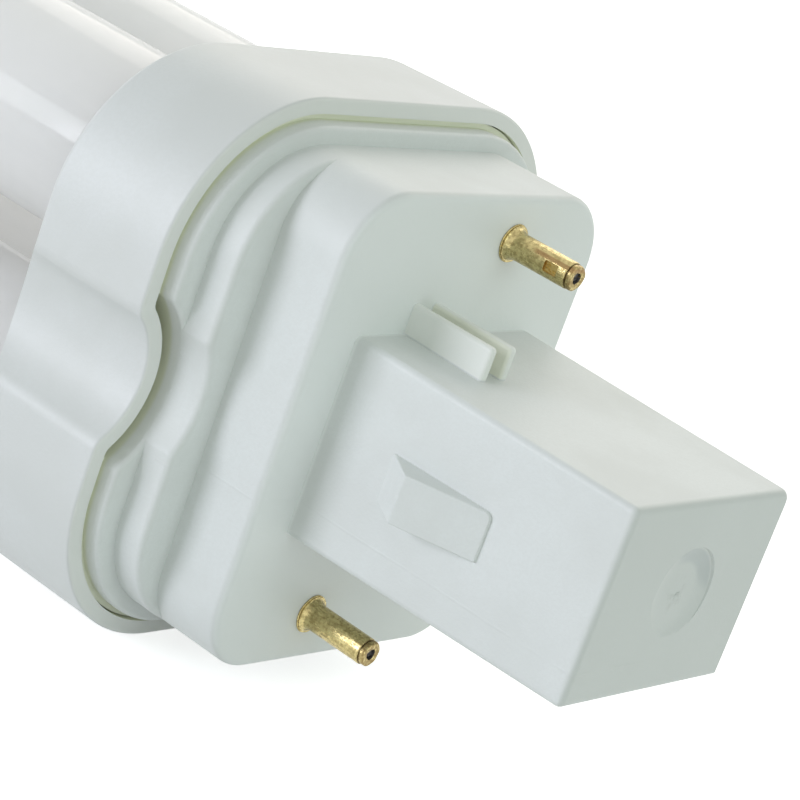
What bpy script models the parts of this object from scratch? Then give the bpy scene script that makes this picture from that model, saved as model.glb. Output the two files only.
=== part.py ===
"""Compact fluorescent lamp, plug-in type with two pins and a double tube of glass.

The lamp lies on the flat side of its shell, with its axis along world X and the
plug post pointing to +X. Every piece is modelled in the lamp's own axes: local Z
runs along the lamp from the glass to the post, local X across it, local Y up, and
local zero is the middle of the pin face. An empty turns those axes into the world.
"""

import bmesh
import bpy
from math import acos, cos, pi, radians, sin
from mathutils import Vector

# Overall, in metres
OVERALL_LENGTH = 0.153

# Glass, whose four legs set the size of the cap
TUBE_DIAMETER = 0.012
TUBE_GAP = 0.0032
TUBE_END_ROUND = 0.0016
LEG_STAND_OUT = 0.0015
BRIDGE_SHARE = 0.55
BRIDGE_FROM_SHELL = 0.008
PINCH_INSET = 0.0028
PINCH_THICKNESS = 0.0022
PINCH_LENGTH = 0.0026
PINCH_EDGE = 0.0004

# Plug post, a hollow rectangular box that tapers to its end
POST_LENGTH = 0.0197
POST_ROOT_WIDTH = 0.0162
POST_WIDTH_TAPER = 0.0009
POST_ROOT_HEIGHT = 0.0122
POST_HEIGHT_TAPER = 0.0007
POST_WALL = 0.0012
POST_END_WALL = 0.0013
POST_EDGE = 0.00035
DIMPLE_DIAMETER = 0.0055
DIMPLE_DEPTH = 0.00025
GATE_DIAMETER = 0.0008
GATE_HEIGHT = 0.0001

# Two thin key ribs on top of the post
KEY_THICKNESS = 0.00085
KEY_PITCH = 0.0018
KEY_FROM_MIDDLE = 0.0036
KEY_HEIGHT = 0.00185
KEY_LENGTH = 0.0059
KEY_EDGE = 0.0002

# Catch wedges on both sides of the post
CATCH_START = 0.00484
CATCH_CREST = 0.0072
CATCH_END = 0.01194
CATCH_HEIGHT = 0.00186
CATCH_END_HEIGHT = 0.00015
CATCH_WIDTH = 0.00288
CATCH_EDGE = 0.00025

# Block that carries the pins, stepped in from the collar
BLOCK_STEP_X = 0.00395
BLOCK_STEP_Y = 0.001
BLOCK_CORNER = 0.0042
BLOCK_WALL = 0.0015
BLOCK_EDGE = 0.0005
FACE_THICKNESS = 0.0016

# Shoulder behind the block, and collar behind the shoulder
SHOULDER_DEPTH = 0.00465
SHOULDER_STEP_X = 0.0015
SHOULDER_STEP_Y = 0.00105
SHOULDER_CORNER = 0.0065
SHOULDER_EDGE = 0.0004
COLLAR_DEPTH = 0.0067
COLLAR_LENGTH = 0.005
COLLAR_EDGE = 0.0003
CAP_WALL = 0.0013

# Outer shell round the tube ends; the flat is half of what the round corners leave of a side
SHELL_MARGIN = 0.00315
SHELL_FLAT = 0.00745
SHELL_WALL = 0.00095
SHELL_DEPTH = 0.0076
SHELL_LENGTH = 0.0086
SHELL_FLOOR = 0.0012
SHELL_EDGE = 0.0002

# Flutes down the middle of both sides, drawn round a line outside the shell
FLUTE_OUTSIDE = 0.00265
FLUTE_RADIUS = 0.00465
FLUTE_GAP = 0.0008

# Cement round the tube ends
CEMENT_THICKNESS = 0.0027

# Contact pins
PIN_DIAMETER = 0.00164
PIN_BORE = 0.00084
PIN_LENGTH = 0.00485
PIN_X = 0.0031
PIN_FROM_EDGE = 0.0028
PIN_FLANGE_DIAMETER = 0.00226
PIN_FLANGE_THICKNESS = 0.0003
PIN_FILLET = 0.0002
PIN_GROOVE_DEPTH = 0.00007
PIN_RIM_LENGTH = 0.0004
PIN_TAIL = 0.0006
CRIMP_LENGTH = 0.0009
CRIMP_WIDTH = 0.00042
CRIMP_FROM_TIP = 0.0016

# Starter, which fills the room in the post but for these gaps
GLOW_SIDE_GAP = 0.00065
GLOW_WALL_GAP = 0.00025
GLOW_END_GAP = 0.0019
GLOW_SHOULDER = 0.0016
GLOW_FROM_FACE = 0.001
CAPACITOR_SIDE_GAP = 0.00105
CAPACITOR_WALL_GAP = 0.00095
CAPACITOR_SHORTER = 0.0065
CAPACITOR_FROM_FACE = 0.0035
CAPACITOR_EDGE_SHARE = 0.14

# Wires, their crimped joints and sleeves
WIRE_DIAMETER = 0.0005
JOINT_BORE = 0.0019
JOINT_WALL = 0.0003
JOINT_LENGTH = 0.004
JOINT_FROM_FACE = 0.0014
JOINT_OFFSET = 0.0005
SLEEVE_BORE = 0.0009
SLEEVE_WALL = 0.0003
LEFT_SLEEVE_POINTS = (6, 13)
RIGHT_SLEEVE_POINTS = (4, 10)

# Clearances between pieces
CLEARANCE = 0.0003
SLIP = 0.0004
PIN_GAP = 0.00015
LEAD_GAP = 0.0002

# How far a form that is joined on, or cut out, reaches into its neighbour
BURIED = 0.0004

# How finely the curved shapes are drawn
CORNER_STEPS = 7
FLUTE_STEPS = 10
BEND_STEPS = 16
ROUTE_STEPS = 3
TUBE_RESOLUTION = 14
WIRE_RESOLUTION = 2
SLEEVE_RESOLUTION = 3
HOLE_SIDES = 32
SMALL_SIDES = 20
JOINT_SIDES = 14
GATE_SIDES = 12
EDGE_STEPS = 2
FINE_EDGE_STEPS = 3

# Angles in degrees: edges that are rounded, shaded sharp, or merged as flat
ROUNDED_ANGLE = 40
SHARP_ANGLE = 35
FLAT_ANGLE = 0.5
WELD_DISTANCE = 1e-7

# Sizes and places that follow from the sizes above
TUBE_RADIUS = TUBE_DIAMETER / 2
LEG = TUBE_RADIUS + TUBE_GAP / 2
BRIDGE_DIAMETER = TUBE_DIAMETER * BRIDGE_SHARE
PINCH_WIDTH = TUBE_DIAMETER - 2 * PINCH_INSET
SHELL_HALF = LEG + TUBE_RADIUS + SHELL_MARGIN
SHELL_CORNER = SHELL_HALF - SHELL_FLAT
COLLAR_HALF = SHELL_HALF - SHELL_WALL - SLIP
COLLAR_CORNER = SHELL_CORNER - SHELL_WALL - SLIP
SHOULDER_HALF_X = COLLAR_HALF - SHOULDER_STEP_X
SHOULDER_HALF_Y = COLLAR_HALF - SHOULDER_STEP_Y
BLOCK_HALF_X = COLLAR_HALF - BLOCK_STEP_X
BLOCK_HALF_Y = COLLAR_HALF - BLOCK_STEP_Y
FLUTE_CENTRE = SHELL_HALF + FLUTE_OUTSIDE
CAP_FLUTE = FLUTE_RADIUS + SHELL_WALL + FLUTE_GAP
PIN_Y = BLOCK_HALF_Y - PIN_FROM_EDGE
SHELL_REAR = -SHELL_DEPTH - SHELL_LENGTH
SHELL_SEAT = SHELL_REAR + SHELL_FLOOR
CEMENT_REAR = SHELL_SEAT + CLEARANCE
CEMENT_FRONT = CEMENT_REAR + CEMENT_THICKNESS
COLLAR_REAR = -COLLAR_DEPTH - COLLAR_LENGTH
LEG_END = CEMENT_FRONT + LEG_STAND_OUT
PINCH_FRONT = LEG_END + PINCH_LENGTH
BEND_CENTRE = POST_LENGTH - OVERALL_LENGTH + LEG + TUBE_RADIUS
PIN_RADIUS = PIN_DIAMETER / 2
WIRE_RADIUS = WIRE_DIAMETER / 2
ROOM_WIDTH = POST_ROOT_WIDTH - POST_WIDTH_TAPER - 2 * POST_WALL
ROOM_HEIGHT = POST_ROOT_HEIGHT - POST_HEIGHT_TAPER - 2 * POST_WALL
GLOW_DIAMETER = ROOM_HEIGHT - 2 * GLOW_SIDE_GAP
GLOW_LENGTH = POST_LENGTH - POST_END_WALL - GLOW_FROM_FACE - GLOW_END_GAP
GLOW_NECK = GLOW_DIAMETER - 2 * GLOW_SHOULDER
GLOW_X = GLOW_DIAMETER / 2 + GLOW_WALL_GAP - ROOM_WIDTH / 2
GLOW_LEAD_SPACING = GLOW_NECK / 2 + CLEARANCE
CAPACITOR_THICKNESS = (ROOM_WIDTH - GLOW_WALL_GAP - GLOW_DIAMETER - CLEARANCE
                       - CAPACITOR_WALL_GAP)
CAPACITOR_HEIGHT = ROOM_HEIGHT - 2 * CAPACITOR_SIDE_GAP
CAPACITOR_LENGTH = GLOW_LENGTH - CAPACITOR_SHORTER
CAPACITOR_X = GLOW_X + GLOW_DIAMETER / 2 + CLEARANCE + CAPACITOR_THICKNESS / 2
JOINT_FRONT = -JOINT_FROM_FACE
JOINT_REAR = JOINT_FRONT - JOINT_LENGTH


def clear_scene():
    """Empty the file before the lamp is made."""
    for old in list(bpy.data.objects):
        bpy.data.objects.remove(old, do_unlink=True)
    for old in list(bpy.data.collections):
        bpy.data.collections.remove(old)


def new_collection(name):
    collection = bpy.data.collections.new(name)
    bpy.context.scene.collection.children.link(collection)
    return collection


def new_material(name, colour, roughness, metallic=0.0):
    material = bpy.data.materials.new(name)
    material.use_nodes = True
    shader = material.node_tree.nodes["Principled BSDF"]
    shader.inputs["Base Color"].default_value = (*colour, 1.0)
    shader.inputs["Roughness"].default_value = roughness
    shader.inputs["Metallic"].default_value = metallic
    return material


clear_scene()
LAMP = new_collection("compact_fluorescent_lamp")
CUTTERS = new_collection("cutters")
AXIS = bpy.data.objects.new("lamp_axis", None)
LAMP.objects.link(AXIS)
AXIS.location = (OVERALL_LENGTH / 2 - POST_LENGTH, 0.0, SHELL_HALF)
AXIS.rotation_euler = (radians(90), 0.0, radians(90))

WHITE_PLASTIC = new_material("white_plastic", (0.66, 0.70, 0.68), 0.42)
SHELL_PLASTIC = new_material("shell_plastic", (0.67, 0.71, 0.68), 0.45)
PHOSPHOR_GLASS = new_material("phosphor_glass", (0.74, 0.74, 0.74), 0.10)
BRASS = new_material("pin_brass", (0.56, 0.41, 0.18), 0.32, 1.0)
CEMENT = new_material("grey_cement", (0.55, 0.54, 0.50), 0.90)
CLEAR_GLASS = new_material("starter_glass", (0.60, 0.64, 0.64), 0.06)
FOIL_CASE = new_material("capacitor_case", (0.42, 0.16, 0.05), 0.35)
TINNED_WIRE = new_material("tinned_wire", (0.60, 0.60, 0.58), 0.30, 1.0)
JOINT_METAL = new_material("joint_metal", (0.62, 0.61, 0.58), 0.35, 1.0)
SLEEVE_FIBRE = new_material("sleeve_fibre", (0.78, 0.77, 0.72), 0.80)


def place(item, material=None):
    """Put a finished piece, or a cutter where no material is given, on the lamp's axis."""
    item.parent = AXIS
    if material is None:
        CUTTERS.objects.link(item)
        item.hide_render = True
        item.display_type = "WIRE"
    else:
        LAMP.objects.link(item)
        item.data.materials.clear()
        item.data.materials.append(material)
        item.data.shade_smooth()
        item.data.set_sharp_from_angle(angle=radians(SHARP_ANGLE))
    return item


def arc(centre_x, centre_y, radius, start, end, steps):
    points = []
    for step in range(steps + 1):
        angle = start + (end - start) * step / steps
        points.append((centre_x + radius * cos(angle), centre_y + radius * sin(angle)))
    return points


def outline(half_x, half_y, corner, flute=0.0):
    """Rounded rectangle, with a round flute in the middle of both sides where one is given."""
    points = []
    spread = 0.0
    if flute:
        spread = acos((FLUTE_CENTRE - half_x) / flute)
        points += arc(FLUTE_CENTRE, 0.0, flute, pi + spread, pi - spread, FLUTE_STEPS)
    x = half_x - corner
    y = half_y - corner
    points += arc(x, y, corner, 0.0, pi / 2, CORNER_STEPS)
    points += arc(-x, y, corner, pi / 2, pi, CORNER_STEPS)
    if flute:
        points += arc(-FLUTE_CENTRE, 0.0, flute, spread, -spread, FLUTE_STEPS)
    points += arc(-x, -y, corner, pi, 3 * pi / 2, CORNER_STEPS)
    points += arc(x, -y, corner, 3 * pi / 2, 2 * pi, CORNER_STEPS)
    return points


def mesh_from_curve(curve, name, twisting=False):
    """Turn a curve object into a welded mesh object in the same place.

    Faces that lie flat together are merged, but the faces of a bar that twists
    along its route aren't flat, so they are cut into triangles instead.
    """
    curve.parent = AXIS
    bpy.context.scene.collection.objects.link(curve)
    bpy.context.view_layer.update()
    seen = curve.evaluated_get(bpy.context.evaluated_depsgraph_get())
    mesh = bpy.data.meshes.new_from_object(seen)
    spot = curve.location.copy()
    turn = curve.rotation_euler.copy()
    bpy.data.objects.remove(curve, do_unlink=True)
    item = bpy.data.objects.new(name, mesh)
    item.location = spot
    item.rotation_euler = turn
    work = bmesh.new()
    work.from_mesh(mesh)
    bmesh.ops.remove_doubles(work, verts=work.verts, dist=WELD_DISTANCE)
    if twisting:
        bmesh.ops.triangulate(work, faces=work.faces)
    else:
        bmesh.ops.dissolve_limit(work, angle_limit=radians(FLAT_ANGLE), verts=work.verts,
                                 edges=work.edges)
    bmesh.ops.recalc_face_normals(work, faces=work.faces)
    work.to_mesh(mesh)
    work.free()
    return item


def slab(name, points, low, high):
    """Flat outline across the lamp's axis, given thickness from low to high along it."""
    curve = bpy.data.curves.new(name, "CURVE")
    curve.dimensions = "2D"
    curve.fill_mode = "BOTH"
    curve.extrude = (high - low) / 2
    spline = curve.splines.new("POLY")
    spline.points.add(len(points) - 1)
    for spot, point in zip(spline.points, points):
        spot.co = (point[0], point[1], 0.0, 1.0)
    spline.use_cyclic_u = True
    item = bpy.data.objects.new(name + "_outline", curve)
    item.location = (0.0, 0.0, (low + high) / 2)
    return mesh_from_curve(item, name)


def sweep(name, route, radius, resolution):
    """Round bar along a route of points, with closed ends."""
    curve = bpy.data.curves.new(name, "CURVE")
    curve.dimensions = "3D"
    curve.bevel_depth = radius
    curve.bevel_resolution = resolution
    curve.use_fill_caps = True
    spline = curve.splines.new("POLY")
    spline.points.add(len(route) - 1)
    for spot, point in zip(spline.points, route):
        spot.co = (*point, 1.0)
    return bpy.data.objects.new(name, curve)


def box(name, size, centre):
    mesh = bpy.data.meshes.new(name)
    work = bmesh.new()
    bmesh.ops.create_cube(work, size=1.0)
    bmesh.ops.scale(work, vec=size, verts=work.verts)
    work.to_mesh(mesh)
    work.free()
    item = bpy.data.objects.new(name, mesh)
    item.location = centre
    return item


def rod(name, radius, low, high, x=0.0, y=0.0, sides=HOLE_SIDES):
    """Round bar along the lamp's axis."""
    mesh = bpy.data.meshes.new(name)
    work = bmesh.new()
    bmesh.ops.create_cone(work, cap_ends=True, segments=sides, radius1=radius,
                          radius2=radius, depth=high - low)
    work.to_mesh(mesh)
    work.free()
    item = bpy.data.objects.new(name, mesh)
    item.location = (x, y, (low + high) / 2)
    return item


def turned(name, profile, closed, steps, x=0.0, y=0.0, z=0.0):
    """Shape turned round the lamp's axis from (radius, height) points, top first."""
    mesh = bpy.data.meshes.new(name)
    work = bmesh.new()
    verts = [work.verts.new((radius, 0.0, height)) for radius, height in profile]
    for first, second in zip(verts, verts[1:]):
        work.edges.new((first, second))
    if closed:
        work.edges.new((verts[-1], verts[0]))
    work.to_mesh(mesh)
    work.free()
    item = bpy.data.objects.new(name, mesh)
    item.location = (x, y, z)
    screw = item.modifiers.new("turn", "SCREW")
    screw.axis = "Z"
    screw.angle = 2 * pi
    screw.steps = steps
    screw.render_steps = steps
    screw.use_merge_vertices = True
    screw.merge_threshold = WELD_DISTANCE
    return item


def round_edges(item, width, steps=EDGE_STEPS):
    bevel = item.modifiers.new("edges", "BEVEL")
    bevel.width = width
    bevel.segments = steps
    bevel.limit_method = "ANGLE"
    bevel.angle_limit = radians(ROUNDED_ANGLE)
    return item


def join(item, other):
    place(other)
    union = item.modifiers.new("join_" + other.name, "BOOLEAN")
    union.operation = "UNION"
    union.solver = "EXACT"
    union.object = other


def cut(item, other):
    place(other)
    cutting = item.modifiers.new("cut_" + other.name, "BOOLEAN")
    cutting.operation = "DIFFERENCE"
    cutting.solver = "EXACT"
    cutting.object = other


def post_half_width(z):
    return (POST_ROOT_WIDTH - POST_WIDTH_TAPER * z / POST_LENGTH) / 2


def post_half_height(z):
    return (POST_ROOT_HEIGHT - POST_HEIGHT_TAPER * z / POST_LENGTH) / 2


def post_box(name, inset, low, high):
    """Tapered box that follows the post's sides, moved in by the inset."""
    item = box(name, (1.0, 1.0, high - low), (0.0, 0.0, (low + high) / 2))
    work = bmesh.new()
    work.from_mesh(item.data)
    for end, side in ((low, -1), (high, 1)):
        corners = [vert for vert in work.verts if vert.co.z * side > 0]
        width = 2 * (post_half_width(end) - inset)
        height = 2 * (post_half_height(end) - inset)
        bmesh.ops.scale(work, vec=(width, height, 1.0), verts=corners)
    work.to_mesh(item.data)
    work.free()
    return item


def key_rib(name, number):
    low = -BURIED
    bottom = post_half_height(KEY_LENGTH) - BURIED
    top = post_half_height(0.0) + KEY_HEIGHT
    x = -KEY_FROM_MIDDLE + number * KEY_PITCH
    size = (KEY_THICKNESS, top - bottom, KEY_LENGTH - low)
    rib = box(name, size, (x, (top + bottom) / 2, (KEY_LENGTH + low) / 2))
    return round_edges(rib, KEY_EDGE)


def catch_wedge(name, side):
    """Wedge with a steep back and a long ramp, drawn in the plane across its width."""
    spots = [(post_half_width(CATCH_START) - BURIED, CATCH_START),
             (post_half_width(CATCH_START), CATCH_START),
             (post_half_width(CATCH_CREST) + CATCH_HEIGHT, CATCH_CREST),
             (post_half_width(CATCH_END) + CATCH_END_HEIGHT, CATCH_END),
             (post_half_width(CATCH_END) - BURIED, CATCH_END)]
    curve = bpy.data.curves.new(name, "CURVE")
    curve.dimensions = "2D"
    curve.fill_mode = "BOTH"
    curve.extrude = CATCH_WIDTH / 2
    spline = curve.splines.new("POLY")
    spline.points.add(len(spots) - 1)
    for spot, point in zip(spline.points, spots):
        spot.co = (side * point[0], point[1], 0.0, 1.0)
    spline.use_cyclic_u = True
    item = bpy.data.objects.new(name + "_outline", curve)
    item.rotation_euler = (radians(90), 0.0, 0.0)
    return round_edges(mesh_from_curve(item, name), CATCH_EDGE)


def make_cap_body():
    """Collar, shoulder, pin block and hollow post, moulded as one."""
    block = slab("cap_body", outline(BLOCK_HALF_X, BLOCK_HALF_Y, BLOCK_CORNER),
                 -COLLAR_DEPTH - BURIED, 0.0)
    round_edges(block, BLOCK_EDGE, FINE_EDGE_STEPS)
    shoulder = slab("shoulder_form", outline(SHOULDER_HALF_X, SHOULDER_HALF_Y,
                                             SHOULDER_CORNER, CAP_FLUTE),
                    -COLLAR_DEPTH - 2 * BURIED, -SHOULDER_DEPTH)
    join(block, round_edges(shoulder, SHOULDER_EDGE))
    collar = slab("collar_form", outline(COLLAR_HALF, COLLAR_HALF, COLLAR_CORNER, CAP_FLUTE),
                  COLLAR_REAR, -COLLAR_DEPTH)
    join(block, round_edges(collar, COLLAR_EDGE))
    post = post_box("post_form", 0.0, -FACE_THICKNESS / 2, POST_LENGTH)
    join(block, round_edges(post, POST_EDGE, FINE_EDGE_STEPS))
    for number in range(2):
        join(block, key_rib("key_rib_%d" % (number + 1), number))
    for side, word in ((-1, "left"), (1, "right")):
        join(block, catch_wedge("catch_" + word, side))

    behind = COLLAR_REAR - CAP_WALL
    cut(block, slab("collar_room", outline(COLLAR_HALF - CAP_WALL, COLLAR_HALF - CAP_WALL,
                                           COLLAR_CORNER - CAP_WALL, CAP_FLUTE + CAP_WALL),
                    behind, -COLLAR_DEPTH - CAP_WALL))
    cut(block, slab("shoulder_room", outline(SHOULDER_HALF_X - CAP_WALL,
                                             SHOULDER_HALF_Y - CAP_WALL,
                                             SHOULDER_CORNER - CAP_WALL, CAP_FLUTE + CAP_WALL),
                    behind - CLEARANCE, -SHOULDER_DEPTH - CAP_WALL))
    cut(block, slab("block_room", outline(BLOCK_HALF_X - BLOCK_WALL,
                                          BLOCK_HALF_Y - BLOCK_WALL,
                                          BLOCK_CORNER - BLOCK_WALL),
                    behind - 2 * CLEARANCE, -FACE_THICKNESS))
    cut(block, post_box("post_room", POST_WALL, -FACE_THICKNESS - BURIED,
                        POST_LENGTH - POST_END_WALL))
    for side, word in ((1, "upper"), (-1, "lower")):
        cut(block, rod("pin_hole_" + word, PIN_RADIUS + PIN_GAP, -FACE_THICKNESS - BURIED,
                       BURIED, side * PIN_X, side * PIN_Y, SMALL_SIDES))
    cut(block, rod("dimple_form", DIMPLE_DIAMETER / 2, POST_LENGTH - DIMPLE_DEPTH,
                   POST_LENGTH + BURIED))
    join(block, rod("gate_form", GATE_DIAMETER / 2, POST_LENGTH - DIMPLE_DEPTH - BURIED,
                    POST_LENGTH - DIMPLE_DEPTH + GATE_HEIGHT, sides=GATE_SIDES))
    return place(block, WHITE_PLASTIC)


def make_shell():
    """Cup round the tube ends, open to the front, with a hole for each leg."""
    shell = slab("tube_shell", outline(SHELL_HALF, SHELL_HALF, SHELL_CORNER, FLUTE_RADIUS),
                 SHELL_REAR, -SHELL_DEPTH)
    round_edges(shell, SHELL_EDGE)
    inner = SHELL_HALF - SHELL_WALL
    cut(shell, slab("shell_room", outline(inner, inner, SHELL_CORNER - SHELL_WALL,
                                          FLUTE_RADIUS + SHELL_WALL),
                    SHELL_SEAT, -SHELL_DEPTH + BURIED))
    for x_side, x_word in ((-1, "left"), (1, "right")):
        for y_side, y_word in ((1, "upper"), (-1, "lower")):
            cut(shell, rod("leg_hole_%s_%s" % (y_word, x_word), TUBE_RADIUS + CLEARANCE,
                           SHELL_REAR - BURIED, SHELL_SEAT + BURIED, x_side * LEG, y_side * LEG))
    return place(shell, SHELL_PLASTIC)


def make_cement():
    """Cement poured on the shell's floor, round the four legs."""
    half = SHELL_HALF - SHELL_WALL - CLEARANCE
    bed = slab("bedding_cement", outline(half, half, SHELL_CORNER - SHELL_WALL - CLEARANCE,
                                         FLUTE_RADIUS + SHELL_WALL + CLEARANCE),
               CEMENT_REAR, CEMENT_FRONT)
    for x_side, x_word in ((-1, "left"), (1, "right")):
        for y_side, y_word in ((1, "upper"), (-1, "lower")):
            cut(bed, rod("cement_hole_%s_%s" % (y_word, x_word), TUBE_RADIUS + CLEARANCE,
                         CEMENT_REAR - BURIED, CEMENT_FRONT + BURIED,
                         x_side * LEG, y_side * LEG))
    return place(bed, CEMENT)


def u_route(side):
    """Down one leg, round the bend and up the other."""
    route = [(side * LEG, LEG, LEG_END)]
    for y, z in arc(0.0, BEND_CENTRE, LEG, 0.0, -pi, BEND_STEPS):
        route.append((side * LEG, y, z))
    route.append((side * LEG, -LEG, LEG_END))
    return route


def make_discharge_tube():
    """Two bends of glass, a short bridge that joins them and two pinched ends."""
    left = mesh_from_curve(sweep("left_bend", u_route(-1), TUBE_RADIUS, TUBE_RESOLUTION),
                           "discharge_tube")
    right = mesh_from_curve(sweep("right_bend", u_route(1), TUBE_RADIUS, TUBE_RESOLUTION),
                            "right_bend_form")
    round_edges(left, TUBE_END_ROUND, FINE_EDGE_STEPS)
    round_edges(right, TUBE_END_ROUND, FINE_EDGE_STEPS)
    bridge = rod("bridge_form", BRIDGE_DIAMETER / 2, -LEG, LEG, sides=SMALL_SIDES)
    bridge.rotation_euler = (0.0, radians(90), 0.0)
    bridge.location = (0.0, -LEG, SHELL_REAR - BRIDGE_FROM_SHELL)
    join(left, bridge)
    join(left, right)
    for side, word in ((-1, "left"), (1, "right")):
        length = PINCH_LENGTH + LEG_STAND_OUT
        pinch = box("pinch_form_" + word, (PINCH_WIDTH, PINCH_THICKNESS, length),
                    (side * LEG, LEG, PINCH_FRONT - length / 2))
        join(left, round_edges(pinch, PINCH_EDGE))
    return place(left, PHOSPHOR_GLASS)


def make_pin(name, side):
    """Hollow pin with a flange on the face, a rolled rim and a flared tail behind the face."""
    bore = PIN_BORE / 2
    flange = PIN_FLANGE_DIAMETER / 2
    seat = PIN_GAP
    tail = -FACE_THICKNESS - PIN_GAP
    groove = PIN_RADIUS - PIN_GROOVE_DEPTH
    rim = PIN_LENGTH - PIN_RIM_LENGTH
    profile = [(bore + PIN_GROOVE_DEPTH, PIN_LENGTH),
               (groove, PIN_LENGTH),
               (PIN_RADIUS, PIN_LENGTH - PIN_GROOVE_DEPTH),
               (PIN_RADIUS, rim),
               (groove, rim - PIN_GROOVE_DEPTH),
               (PIN_RADIUS, rim - 2 * PIN_GROOVE_DEPTH),
               (PIN_RADIUS, seat + PIN_FLANGE_THICKNESS + PIN_FILLET),
               (PIN_RADIUS + PIN_FILLET / 3, seat + PIN_FLANGE_THICKNESS + PIN_FILLET / 3),
               (PIN_RADIUS + PIN_FILLET, seat + PIN_FLANGE_THICKNESS),
               (flange, seat + PIN_FLANGE_THICKNESS / 2),
               (flange, seat),
               (PIN_RADIUS, seat),
               (PIN_RADIUS, tail),
               (flange, tail),
               (flange, tail - PIN_TAIL / 2),
               (PIN_RADIUS, tail - PIN_TAIL),
               (bore, tail - PIN_TAIL),
               (bore, PIN_LENGTH - PIN_GROOVE_DEPTH)]
    pin = turned(name, profile, True, SMALL_SIDES, side * PIN_X, side * PIN_Y)
    window = box("crimp_" + name, (PIN_RADIUS, CRIMP_WIDTH, CRIMP_LENGTH),
                 (side * (PIN_X - PIN_RADIUS), side * PIN_Y, PIN_LENGTH - CRIMP_FROM_TIP))
    cut(pin, window)
    return place(pin, BRASS)


def make_glow_bottle():
    """Small sealed bottle of the starter, with a domed end and a flattened neck."""
    radius = GLOW_DIAMETER / 2
    neck = GLOW_NECK / 2
    profile = [(0.0, GLOW_LENGTH)]
    for r, z in arc(0.0, 0.0, radius, pi / 2, 0.0, CORNER_STEPS)[1:]:
        profile.append((r, GLOW_LENGTH - radius + z))
    profile += [(radius, radius - neck), (neck, radius / 4), (neck, 0.0), (0.0, 0.0)]
    bottle = turned("glow_bottle", profile, False, SMALL_SIDES, GLOW_X, 0.0, GLOW_FROM_FACE)
    return place(bottle, CLEAR_GLASS)


def make_capacitor():
    case = box("capacitor", (CAPACITOR_THICKNESS, CAPACITOR_HEIGHT, CAPACITOR_LENGTH),
               (CAPACITOR_X, 0.0, CAPACITOR_FROM_FACE + CAPACITOR_LENGTH / 2))
    round_edges(case, CAPACITOR_THICKNESS * CAPACITOR_EDGE_SHARE)
    return place(case, FOIL_CASE)


def smooth_route(spots):
    """Points along a smooth curve through the route's own points."""
    knots = [Vector(spot) for spot in spots]
    knots = [2 * knots[0] - knots[1]] + knots + [2 * knots[-1] - knots[-2]]
    route = []
    for index in range(1, len(knots) - 2):
        before, start, end, after = knots[index - 1:index + 3]
        for step in range(ROUTE_STEPS):
            t = step / ROUTE_STEPS
            point = (2 * start + (end - before) * t
                     + (2 * before - 5 * start + 4 * end - after) * t ** 2
                     + (3 * start - before - 3 * end + after) * t ** 3) / 2
            route.append(tuple(point))
    route.append(tuple(knots[-2]))
    return route


def make_wire(name, route):
    wire = sweep(name, route, WIRE_RADIUS, WIRE_RESOLUTION)
    return place(mesh_from_curve(wire, name, twisting=True), TINNED_WIRE)


def make_sleeve(name, route, first, last):
    """Woven sleeve over a stretch of a wire's route."""
    bore = SLEEVE_BORE / 2
    outer = sweep(name, route[first:last], bore + SLEEVE_WALL, SLEEVE_RESOLUTION)
    inner = sweep(name + "_bore", route[first - 1:last + 1], bore, SLEEVE_RESOLUTION)
    sleeve = mesh_from_curve(outer, name, twisting=True)
    cut(sleeve, mesh_from_curve(inner, name + "_bore", twisting=True))
    return place(sleeve, SLEEVE_FIBRE)


def joint_seat(joint, number):
    """Place of one of the three wire ends inside a crimped joint."""
    angle = radians(90 + 120 * number)
    return joint[0] + JOINT_OFFSET * cos(angle), joint[1] + JOINT_OFFSET * sin(angle)


def make_joint(name, joint):
    """Crimped sleeve that joins three wires."""
    inner = JOINT_BORE / 2
    outer = inner + JOINT_WALL
    profile = [(inner, JOINT_FRONT), (outer, JOINT_FRONT), (outer, JOINT_REAR), (inner, JOINT_REAR)]
    return place(turned(name, profile, True, JOINT_SIDES, joint[0], joint[1]), JOINT_METAL)


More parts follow.
